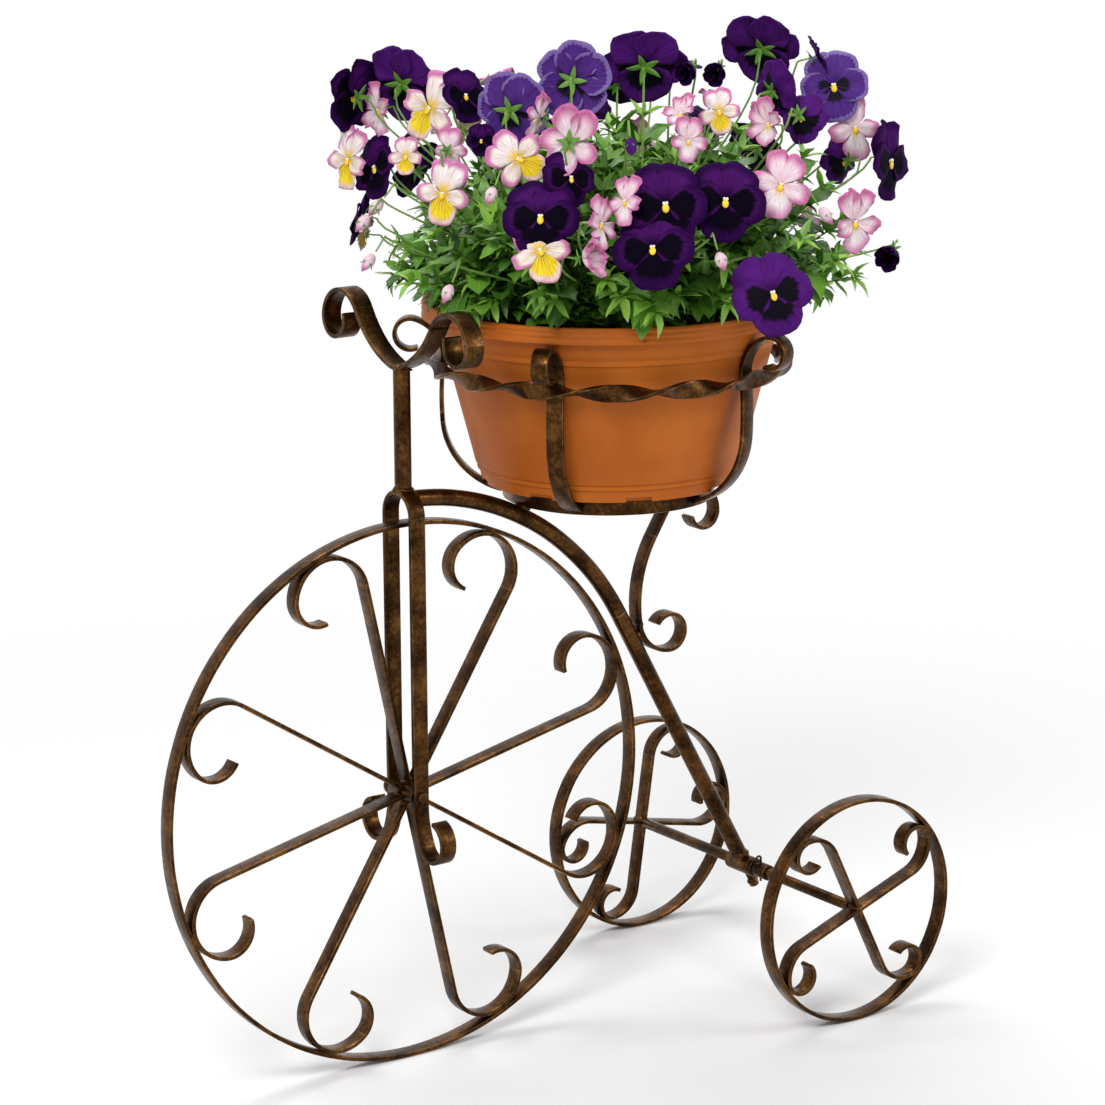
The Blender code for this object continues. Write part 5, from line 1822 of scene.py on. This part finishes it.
# %% [markdown]
# The photograph also shows green between the higher blooms. Fifteen tall shoots are
# placed there one by one, each by the place of its tip in millimetres.

# %% Grow the shoots
MILLIMETRE = 0.001
TALL_SHOOTS = ((257, -164, 654), (262, -136, 674), (279, -162, 629), (266, -189, 592), (245, -194, 607),
               (214, -193, 625), (201, -141, 684), (153, -87, 706), (121, -84, 686), (14, -26, 625),
               (32, -34, 641), (37, -64, 636), (294, -154, 606), (1, -15, 592), (230, -100, 690))
TALL_FOOT, TALL_START_UP, TALL_BEND_UP = 0.55, 0.030, 0.012
FIRST_NODE, FIRST_NODE_FALL = 0.34, 0.22
TALL_FIRST_NODE = 0.50


def tall_curve(place):
    """The four control points of a shoot up to a given place, and its outward direction."""
    end = Vector(place) * MILLIMETRE
    over_root = Vector((end.x, end.y, ROOT.z))
    foot = ROOT.lerp(over_root, TALL_FOOT)
    bend = foot.lerp(end, 0.5) + UP * TALL_BEND_UP
    return (foot, foot + UP * TALL_START_UP, bend, end), (over_root - ROOT).normalized()


def grow_shoots():
    curves = new_stalks("leaf_stems")
    for index in range(SHOOTS):
        points, out = shoot_curve(index)
        grow_shoot(curves, points, out, FIRST_NODE - FIRST_NODE_FALL * index / SHOOTS)
    for place in TALL_SHOOTS:
        points, out = tall_curve(place)
        grow_shoot(curves, points, out, TALL_FIRST_NODE)
    finish_stalks("leaf_stems", curves)


grow_shoots()
print("faces after the shoots:", len(leaves.whole.faces), len(leaflets.whole.faces))

# %% [markdown]
# ## The fringe over the rim
# Larger leaves start just inside the pot's rim and lean out over it, so that the mound hides the
# potting mix from the side. They keep to the darker greens: painted shade, where the blooms above shade
# them.

# %% Lay leaves over the rim
RIM_LEAVES = 110
RIM_TURNS, RIM_REACHES, RIM_RISES = (-0.9, 0.9), (0.080, 0.114), (0.006, 0.034)
RIM_TILTS, RIM_LENGTHS = (0.10, 0.80), (0.024, 0.037)
# Painted shade: the rim leaves' role is scaled down, so they take only the darker greens.
RIM_SHADED_BRIGHTEST = 0.55


def grow_rim_leaves():
    for index in range(RIM_LEAVES):
        around = 2 * math.pi * (index * GOLDEN_SHARE % 1.0)
        out = outwards(around)
        side = Vector((-out.y, out.x, 0.0)) * leaf_dice.uniform(*RIM_TURNS)
        place = ROOT + out * leaf_dice.uniform(*RIM_REACHES) + UP * leaf_dice.uniform(*RIM_RISES)
        heading = out + side + UP * leaf_dice.uniform(*RIM_TILTS)
        add_leaf(place, heading, out, leaf_dice.uniform(*RIM_LENGTHS), RIM_SHADED_BRIGHTEST)


grow_rim_leaves()
leaves.gather()
finish_plants("pansy_leaves", leaves.whole, [leaf_green, young_green])
finish_plants("cut_leaflets", leaflets.whole, [leaf_green, young_green])

# %% [markdown]
# ## The blooms
# Every bloom that the photograph shows is placed where it stands there. A row gives its
# kind, its place and size in millimetres, which way it faces, and how far it closes. The
# facing is written as seen from the camera's side: degrees to the right, degrees up, and
# a roll in its own plane. The unseen blooms are spread round the back of the mound, by
# azimuth and elevation from the root, and diameter.

# %% List the blooms
FRONT_BLOOMS = (
    ("dark", (38, -123, 649), 60, (-5, 14, 0), 0.0),
    ("dark", (110, -172, 657), 66, (0, 10, 4), 0.0),
    ("dark", (153, -185, 658), 62, (6, 8, -4), 0.0),
    ("dark", (93, -180, 629), 60, (-6, 16, 3), 0.0),
    ("violet", (176, -210, 593), 60, (6, 4, 16), 0.0),
    ("lilac", (327, -92, 719), 58, (2, 6, 6), 0.1),
    ("violet", (70, 100, 722), 68, (155, 34, 10), 0.1),
    ("dark", (37, 116, 712), 60, (-125, 15, 30), 0.1),
    ("dark", (57, -2, 722), 44, (35, 12, 0), 0.1),
    ("dark", (42, 97, 661), 54, (-48, 4, 20), 0.1),
    ("violet", (328, -105, 664), 42, (-140, 10, 0), 0.3),
    ("lilac", (60, -56, 716), 62, (165, 20, 15), 0.15),
    ("lilac", (103, -71, 735), 58, (176, 6, 40), 0.0),
    ("violet", (160, -81, 744), 70, (175, 42, 0), 0.1),
    ("violet", (288, -55, 747), 66, (168, 46, 0), 0.1),
    ("violet", (318, -82, 741), 34, (85, 25, 20), 0.2),
    ("violet", (256, -111, 721), 54, (125, 20, 70), 0.2),
    ("violet", (262, -134, 704), 44, (150, -10, 0), 0.3),
    ("dark", (355, -125, 664), 64, (62, -6, 5), 0.1),
    ("dark", (66, -120, 674), 44, (28, 10, 0), 0.0),
    ("dark", (36, -53, 696), 26, (0, 0, 0), 0.2),
    ("dark", (189, -97, 741), 27, (-18, -25, 0), 0.85),
    ("dark", (215, -96, 739), 28, (-14, -25, 10), 0.85),
    ("dark", (351, -134, 598), 33, (-20, -28, 12), 0.85),
    ("yellow", (45, 26, 711), 54, (-30, 0, -38), 0.1),
    ("pink", (52, 107, 702), 44, (-48, -8, 20), 0.2),
    ("yellow", (30, 115, 666), 50, (-44, -4, -14), 0.1),
    ("yellow", (13, 10, 680), 30, (-10, 4, 0), 0.1),
    ("yellow", (6, -48, 660), 46, (-15, -4, -12), 0.0),
    ("pink", (22, -32, 688), 34, (160, 12, 0), 0.3),
    ("yellow", (42, -90, 686), 46, (0, 2, 62), 0.0),
    ("pink", (68, -80, 712), 38, (-110, 12, 20), 0.2),
    ("pink", (71, -113, 697), 50, (165, -4, 20), 0.0),
    ("yellow", (31, -132, 627), 50, (0, 24, 18), 0.0),
    ("pink", (52, -154, 622), 36, (60, 0, 30), 0.55),
    ("pink", (67, -154, 645), 42, (58, 0, -15), 0.15),
    ("yellow", (182, -140, 714), 34, (-6, 4, 10), 0.0),
    ("pink", (152, -135, 714), 34, (-30, 38, 0), 0.3),
    ("pink", (146, -151, 697), 34, (20, -8, 0), 0.15),
    ("pink", (220, -149, 703), 42, (-42, 4, 20), 0.3),
    ("pink", (206, -181, 664), 52, (10, 6, -18), 0.1),
    ("pink", (85, -159, 660), 38, (-42, 6, 0), 0.1),
    ("pink", (337, -105, 688), 48, (20, 4, 12), 0.0),
    ("pink", (277, -178, 631), 52, (36, -16, 10), 0.2),
)
BACK_BLOOMS = (
    ("dark", 10, 30, 58), ("dark", 75, 30, 55), ("dark", 112, 26, 51), ("dark", 50, 52, 54),
    ("violet", 38, 22, 51), ("violet", 95, 50, 52), ("violet", -10, 72, 45), ("dark", 140, 18, 50),
    ("pink", 60, 12, 38), ("pink", 0, 12, 35), ("pink", 92, 12, 36), ("pink", 125, 60, 37),
    ("pink", 25, 66, 37), ("yellow", 15, 46, 28), ("yellow", 75, 66, 29), ("yellow", 128, 12, 28),
    ("lilac", 26, 36, 46), ("violet", 62, 40, 50), ("pink", 46, 32, 38), ("yellow", 100, 36, 34),
    ("pink", 80, 22, 36), ("lilac", 128, 38, 46),
)
print("blooms:", len(FRONT_BLOOMS), "that the photograph shows and", len(BACK_BLOOMS), "behind")

# %% [markdown]
# ## The shape of a petal
# A pansy has five petals: two at the back and top, two at the sides and a broad one
# below. Each is a fan of faces about the throat, rounded at its outer edge, ruffled,
# and lifted a little over its neighbour. A viola's petals are narrower, with gaps.

# %% Shape the petals
PETAL_GRID = (14, 10)
# Middle of the petal in degrees from the top, half its spread, length share, lift, role
PANSY_PETALS = ((28, 60, 1.0, -0.10, UPPER_ROLE), (-28, 60, 1.0, -0.06, UPPER_ROLE),
                (94, 54, 0.95, 0.04, SIDE_ROLE), (-94, 54, 0.95, 0.06, SIDE_ROLE),
                (180, 72, 1.0, 0.0, LOWEST_ROLE))
VIOLA_PETALS = ((22, 38, 1.08, -0.12, UPPER_ROLE), (-22, 38, 1.08, -0.08, UPPER_ROLE),
                (100, 36, 0.88, 0.05, SIDE_ROLE), (-100, 36, 0.88, 0.08, SIDE_ROLE),
                (180, 50, 1.0, 0.0, LOWEST_ROLE))
PETAL_ROUNDING = math.radians(73)
PETAL_NICKS, NICK_DEPTH = 3, 0.02
THROAT_SHARE, PETAL_SHARE = 0.05, 0.95
RUFFLE_WAVES = 6.5
CRIMP_SHARE, CRIMP_WAVES = 0.35, 19
CUP_AT_FOOT, CUP_GROWTH, CUP_CLOSING = 0.9, 0.5, 0.45
EDGE_DROOP, EDGE_DROOP_POWER = 0.16, 2.4


def petal_shape(middle_angle, spread, length, lift, cup, ruffle, seed):
    """A fan about the throat with a rounded, ruffled edge."""
    def shape(across, along):
        turn = 2 * across - 1
        angle = math.radians(middle_angle + spread * turn)
        nicks = 1 - NICK_DEPTH * math.cos(PETAL_NICKS * math.pi * turn)
        rounded = math.sqrt(math.cos(PETAL_ROUNDING * turn)) * nicks
        reach = length * (THROAT_SHARE + PETAL_SHARE * along) * rounded
        wave = ruffle * length * along ** 2 * math.sin(RUFFLE_WAVES * turn + seed)
        crimp = CRIMP_SHARE * ruffle * length * along ** 4 * math.sin(CRIMP_WAVES * turn + 2 * seed)
        height = length * along * (lift + cup * (CUP_AT_FOOT + CUP_GROWTH * along)) + wave + crimp
        reach *= 1 - CUP_CLOSING * cup * along
        height -= EDGE_DROOP * length * (1 - cup) * along ** EDGE_DROOP_POWER
        return Vector((-reach * math.sin(angle), reach * math.cos(angle), height))
    return shape


print("petals of a pansy:", len(PANSY_PETALS), "faces of each:", PETAL_GRID[0] * PETAL_GRID[1])

# %% [markdown]
# ## Which way a bloom faces
# A bloom that the photograph shows was measured as it looks from the camera, so its
# axes are turned from the camera's own. A bloom behind simply faces out of the mound.

# %% Turn a bloom
def facing_axes(facing):
    """Axes of a bloom from degrees to the right, degrees up and roll, seen from the camera."""
    right, up, back = camera_axes()
    turn, rise, roll = (math.radians(value) for value in facing)
    face = (back * math.cos(turn) + right * math.sin(turn)) * math.cos(rise) + up * math.sin(rise)
    upward = (up - up.dot(face) * face).normalized()
    upward = Matrix.Rotation(roll, 3, face) @ upward
    return Matrix((upward.cross(face), upward, face)).transposed()


def outward_axes(direction):
    """Axes of a bloom that faces a direction, with its top up."""
    upward = (UP - UP.dot(direction) * direction).normalized()
    return Matrix((upward.cross(direction), upward, direction)).transposed()


def behind(axes):
    return axes @ Vector((0.0, 0.0, -1.0))


towards_camera = -behind(facing_axes((0, 0, 0)))
print("a bloom that faces the camera looks along", [round(value, 3) for value in towards_camera])

# %% [markdown]
# ## The green parts and the eyes
# Behind each bloom are five pointed sepals. In its throat is a tear of pollen yellow
# under two small white tufts. They make the face of the flower, so they are small solid
# pieces, with a fine mottle between two shades as their finish.

# %% Make the eyes' finishes
EYE_ROUGHNESS = 0.5
EYE_GRAIN = 700.0


def make_eye(name, dark, bright):
    material, tree, shader = new_finish(name, EYE_ROUGHNESS)
    coloured(tree, shader, ramp(tree, mottle(tree, EYE_GRAIN), ((0.3, dark), (0.7, bright))))
    return material


EYE_FINISHES = [make_eye("pollen yellow", (0.86, 0.50, 0.01), (0.95, 0.72, 0.06)),
                make_eye("throat white", (0.80, 0.72, 0.66), (0.92, 0.88, 0.84))]
print("finishes:", [finish.name for finish in EYE_FINISHES])

# %% [markdown]
# The sepals are leaves of the same kind as the others, without scallops, laid on a
# coarse grid. The eye's parts are icospheres, stretched along the bloom's own axes.

# %% Add the sepals and the eye of a bloom
SEPALS = 5
SEPAL_GRID = (2, 5)
SEPAL_WIDTH, SEPAL_DROOP, SEPAL_FOLD = 0.36, -0.2, 0.3
SEPAL_JITTER, SEPAL_LEAN = (-0.2, 0.2), 0.12
EYE_FINENESS = 2
# Finish, middle and half sizes, in shares of the bloom's radius
EYE_PARTS = (
    (0, (0.0, -0.100, 0.05), (0.078, 0.105, 0.04)),
    (1, (-0.030, 0.012, 0.05), (0.036, 0.038, 0.03)),
    (1, (0.030, 0.012, 0.05), (0.036, 0.038, 0.03)),
)


def add_sepals(work, layers, axes, place, size, dice):
    """Five pointed green sepals behind the bloom."""
    back = behind(axes)
    for index in range(SEPALS):
        turn = 2 * math.pi * index / SEPALS + dice.uniform(*SEPAL_JITTER)
        out = axes @ outwards(turn)
        shape = leaf_shape(size, size * SEPAL_WIDTH, SEPAL_DROOP, SEPAL_FOLD, 1, 0.0, index)
        heading = frame_towards(out + back * SEPAL_LEAN, back)
        add_sheet(work, layers, SEPAL_GRID, shape, heading, place, slot=1)


def add_eye(work, axes, place, size):
    """A tear of pollen yellow in the throat, under two small white tufts."""
    for slot, centre, halves in EYE_PARTS:
        made = bmesh.ops.create_icosphere(work, subdivisions=EYE_FINENESS, radius=1.0)
        for vert in made["verts"]:
            flat = Vector([start + half * share for start, half, share in zip(centre, halves, vert.co)])
            vert.co = place + axes @ (flat * size)
        for face in faces_of(made["verts"]):
            face.material_index = slot


# %% [markdown]
# ## The flower stalks
# Each bloom hangs on a thin stalk that rises from the mix and is hooked over behind it.
# The stalk is drawn as two curves: the long rise, and the short thinner neck.

# %% Draw a stalk to a bloom
BLOOM_SEED = 23
FLOWER_STALK_RADIUS, NECK_THINNESS = 0.00105, 0.8
FLOWER_STALK_STEPS, NECK_STEPS = 12, 6
FOOT_REACH, FOOT_SHARES, LEAST_LENGTH = 0.085, (0.45, 0.9), 0.001
HOOK_BACK, HOOK_LEAD, NECK_START, NECK_END = 0.016, 0.010, 0.010, 0.003
RISE_FIRST, RISE_LAST, NECK_RISE = 0.5, 0.22, 0.004
flower_stalks = new_stalks("flower_stalks")
bloom_dice = random.Random(BLOOM_SEED)


def add_stalk_to(place, back):
    """A stalk from the mix up to the back of a bloom, hooked over behind it."""
    out = place - ROOT
    flat = Vector((out.x, out.y, 0.0))
    share = min(1.0, FOOT_REACH / max(flat.length, LEAST_LENGTH))
    foot = ROOT + flat * share * bloom_dice.uniform(*FOOT_SHARES)
    rise = place.z - foot.z
    hook = place + back * HOOK_BACK
    below_hook = hook - UP * rise * RISE_LAST + back * HOOK_LEAD
    points = (foot, foot + UP * rise * RISE_FIRST, below_hook, hook)
    add_stalk(flower_stalks, points, FLOWER_STALK_RADIUS, FLOWER_STALK_STEPS)
    points = (hook, hook + UP * NECK_RISE, place + back * NECK_START, place + back * NECK_END)
    add_stalk(flower_stalks, points, FLOWER_STALK_RADIUS * NECK_THINNESS, NECK_STEPS)


# %% [markdown]
# ## Placing the blooms
# All petals of one kind share a finish, so they go into one bmesh, and so do all sepals
# and all eyes. The unseen blooms stand on an ellipsoid round the root.

# %% Place the blooms
PANSIES = ("dark", "violet", "lilac")
PANSY_RUFFLE, VIOLA_RUFFLE = 0.062, 0.085
PETAL_JITTER, PETAL_LENGTHS = (-4, 4), (0.96, 1.05)
SEPAL_PLACE, SEPAL_LENGTH = 0.003, 0.19
PLANTING_REACH, PLANTING_RISE = 0.212, 0.196
BACK_RAISE, BACK_SINK, BACK_CUP = 0.014, 0.012, 0.05
petal_work = {kind: bmesh.new() for kind in PETAL_FINISHES}
petal_layers = {kind: sheet_layers(work) for kind, work in petal_work.items()}
green_work = bmesh.new()
green_layers = sheet_layers(green_work)
eye_work = bmesh.new()


def add_bloom(kind, place, diameter, axes, cup):
    pansy = kind in PANSIES
    petals, ruffle = (PANSY_PETALS, PANSY_RUFFLE) if pansy else (VIOLA_PETALS, VIOLA_RUFFLE)
    radius = diameter / 2
    for middle_angle, spread, share, lift, role in petals:
        angle = middle_angle + bloom_dice.uniform(*PETAL_JITTER)
        length = radius * share * bloom_dice.uniform(*PETAL_LENGTHS)
        shape = petal_shape(angle, spread, length, lift, cup, ruffle, bloom_dice.uniform(*ANY_WAVE))
        add_sheet(petal_work[kind], petal_layers[kind], PETAL_GRID, shape, axes, place, role=role)
    back = behind(axes)
    add_sepals(green_work, green_layers, axes, place + back * SEPAL_PLACE, SEPAL_LENGTH * diameter,
               bloom_dice)
    add_eye(eye_work, axes, place, radius)
    add_stalk_to(place, back)


for kind, place, diameter, facing, cup in FRONT_BLOOMS:
    add_bloom(kind, Vector(place) * MILLIMETRE, diameter * MILLIMETRE, facing_axes(facing), cup)
for kind, azimuth, elevation, diameter in BACK_BLOOMS:
    around, up = math.radians(azimuth), math.radians(elevation)
    direction = Vector((math.cos(up) * math.cos(around), math.cos(up) * math.sin(around), math.sin(up)))
    reach = 1 / math.hypot(math.cos(up) / PLANTING_REACH, math.sin(up) / PLANTING_RISE)
    place = ROOT + Vector((0.0, 0.0, BACK_RAISE)) + direction * (reach - BACK_SINK)
    add_bloom(kind, place, diameter * MILLIMETRE, outward_axes(direction), BACK_CUP)
print("blooms placed:", len(FRONT_BLOOMS) + len(BACK_BLOOMS))

# %% [markdown]
# ## The buds
# A closed bud is a pointed egg of three petals wound round each other, in a cup of
# sepals, and it nods on its stalk.

# %% Add the buds
BUDS = ((-11, 24, 637), (-20, 4, 612), (-8, -78, 599), (24, -86, 666), (107, -135, 699),
        (138, -197, 623), (237, -188, 645), (2, 26, 647), (300, 100, 660), (150, 170, 680))
VIOLET_BUD = 4
BUD_GRID = (4, 7)
BUD_PETALS, BUD_RADIUS, BUD_LENGTH = 3, 0.0042, 0.015
BUD_FOOT, BUD_BODY, BUD_POWER = 0.08, 0.92, 0.8
BUD_WRAP, BUD_TWIST = 130, 1.2
BUD_OUT, BUD_NOD = 0.6, 0.8
BUD_SEPAL_LENGTH, BUD_SEPAL_WIDTH, BUD_SEPAL_DROOP, BUD_SEPAL_OUT = 0.0105, 0.0038, -0.15, 0.35


def bud_petal(start):
    """A third of the bud's surface, from a start angle in degrees."""
    def shape(across, along):
        swell = BUD_RADIUS * math.sin(math.pi * (BUD_FOOT + BUD_BODY * along) ** BUD_POWER)
        angle = math.radians(start + BUD_WRAP * (across - 0.5)) + BUD_TWIST * along
        return Vector((swell * math.cos(angle), swell * math.sin(angle), BUD_LENGTH * along))
    return shape


def add_bud(place, kind):
    out = (place - ROOT).normalized()
    axes = outward_axes((out * BUD_OUT - UP * BUD_NOD).normalized())
    for index in range(BUD_PETALS):
        shape = bud_petal(360 // BUD_PETALS * index)
        add_sheet(petal_work[kind], petal_layers[kind], BUD_GRID, shape, axes, place)
    back = behind(axes)
    for index in range(SEPALS):
        outward = axes @ outwards(2 * math.pi * index / SEPALS)
        shape = leaf_shape(BUD_SEPAL_LENGTH, BUD_SEPAL_WIDTH, BUD_SEPAL_DROOP, SEPAL_FOLD,
                           1, 0.0, index)
        heading = frame_towards(outward * BUD_SEPAL_OUT - back, outward)
        add_sheet(green_work, green_layers, SEPAL_GRID, shape, heading, place, slot=1)
    add_stalk_to(place, back)


for index, place in enumerate(BUDS):
    add_bud(Vector(place) * MILLIMETRE, "violet" if index == VIOLET_BUD else "pink")
print("buds:", len(BUDS))

# %% [markdown]
# ## Finishing the planting
# The petals and sepals are single sheets up to here. A Solidify modifier gives them the
# thickness of a petal, which keeps the meshes light.

# %% Finish the planting's pieces
SHEET_THICKNESS = 0.00035


def finish_sheets(name, work, finishes):
    """Thin sheets as a piece, given their thickness by a Solidify modifier."""
    thicken = finish_plants(name, work, finishes).modifiers.new("thickness", "SOLIDIFY")
    thicken.thickness = SHEET_THICKNESS
    thicken.offset = 0.0


for kind, work in petal_work.items():
    finish_sheets(f"{kind}_petals", work, [PETAL_FINISHES[kind]])
finish_sheets("sepals", green_work, [leaf_green, young_green])
finish_plants("bloom_eyes", eye_work, EYE_FINISHES)
finish_stalks("flower_stalks", flower_stalks)

# %% [markdown]
# ## The white background
# The photograph has a white background. The world is white where the camera, a gloss or
# a clear surface looks, and a softer white light for everything else.

# %% Make the world
SOFT_LIGHT = 0.50
WHITE = (1.0, 1.0, 1.0, 1.0)


def make_world():
    world = bpy.data.worlds.new("studio")
    bpy.context.scene.world = world
    world.use_nodes = True
    tree = world.node_tree
    tree.nodes.clear()
    path = node(tree, "ShaderNodeLightPath")
    seen = arithmetic(tree, "MAXIMUM", path.outputs["Is Camera Ray"], path.outputs["Is Glossy Ray"])
    seen = arithmetic(tree, "MAXIMUM", seen, path.outputs["Is Transmission Ray"])
    soft = node(tree, "ShaderNodeBackground", {"Color": WHITE, "Strength": SOFT_LIGHT})
    white = node(tree, "ShaderNodeBackground", {"Color": WHITE, "Strength": 1.0})
    both = node(tree, "ShaderNodeMixShader", {"Fac": seen})
    tree.links.new(soft.outputs[0], both.inputs[1])
    tree.links.new(white.outputs[0], both.inputs[2])
    output = node(tree, "ShaderNodeOutputWorld")
    tree.links.new(both.outputs[0], output.inputs["Surface"])


make_world()
print("soft light of the world:", SOFT_LIGHT)

# %% [markdown]
# ## The floor
# A pale floor just under the wheels takes the shadow. It fades out around the object,
# so that no horizon shows.

# %% Make the floor
FLOOR_COLOUR = (0.88, 0.88, 0.88)
FLOOR_ROUGHNESS = 0.9
FLOOR_SPECULAR = 0.1
FLOOR_SIZE = 3.0
FLOOR_DROP = 0.0005
FADE_START = 0.45
FADE_END = 1.5


def make_fading_paint():
    material, tree, shader = new_finish("pale floor", FLOOR_ROUGHNESS)
    shader.inputs["Base Color"].default_value = (*FLOOR_COLOUR, 1.0)
    shader.inputs["Specular IOR Level"].default_value = FLOOR_SPECULAR
    place = node(tree, "ShaderNodeTexCoord").outputs["Object"]
    far = node(tree, "ShaderNodeVectorMath", {0: place}, operation="LENGTH").outputs["Value"]
    fade = {"Value": far, "From Min": FADE_START, "From Max": FADE_END}
    share = node(tree, "ShaderNodeMapRange", fade, interpolation_type="SMOOTHSTEP").outputs["Result"]
    clear = node(tree, "ShaderNodeBsdfTransparent").outputs[0]
    both = node(tree, "ShaderNodeMixShader", {"Fac": share})
    tree.links.new(shader.outputs[0], both.inputs[1])
    tree.links.new(clear, both.inputs[2])
    tree.links.new(both.outputs[0], tree.nodes["Material Output"].inputs["Surface"])
    return material


def make_floor():
    work = bmesh.new()
    bmesh.ops.create_grid(work, x_segments=1, y_segments=1, size=FLOOR_SIZE)
    floor = mesh_object("floor", work)
    floor.location.z = -FLOOR_DROP
    floor.data.materials.append(make_fading_paint())


make_floor()
print("floor fades out from", FADE_START, "to", FADE_END)

# %% [markdown]
# ## The lamps
# The light in the photograph is soft and comes from the front left and above. Three
# round area lamps make it: a key, a weaker fill from the right, and one over the back
# that draws light edges on the leaves.

# %% Add the lamps
# Name, place, size and power
LAMPS = (
    ("key lamp", (-1.6, -1.4, 2.2), 1.2, 47.0),
    ("fill lamp", (1.8, -1.8, 1.4), 1.4, 20.0),
    ("top lamp", (0.3, 0.9, 2.4), 1.4, 24.0),
)
LAMP_TARGET = Vector((0.1, 0.0, 0.4))


def add_lamp(name, place, size, power):
    lamp = bpy.data.lights.new(name, "AREA")
    lamp.shape = "DISK"
    lamp.size = size
    lamp.energy = power
    obj = add_object(name, lamp)
    obj.location = place
    obj.rotation_euler = (LAMP_TARGET - Vector(place)).to_track_quat("-Z", "Y").to_euler()


for name, place, size, power in LAMPS:
    add_lamp(name, place, size, power)
print("lamps:", len(LAMPS))

# %% [markdown]
# ## Finish
# The colours go out as they are, without a film look.

# %% Finish
bpy.context.scene.view_settings.view_transform = "Standard"
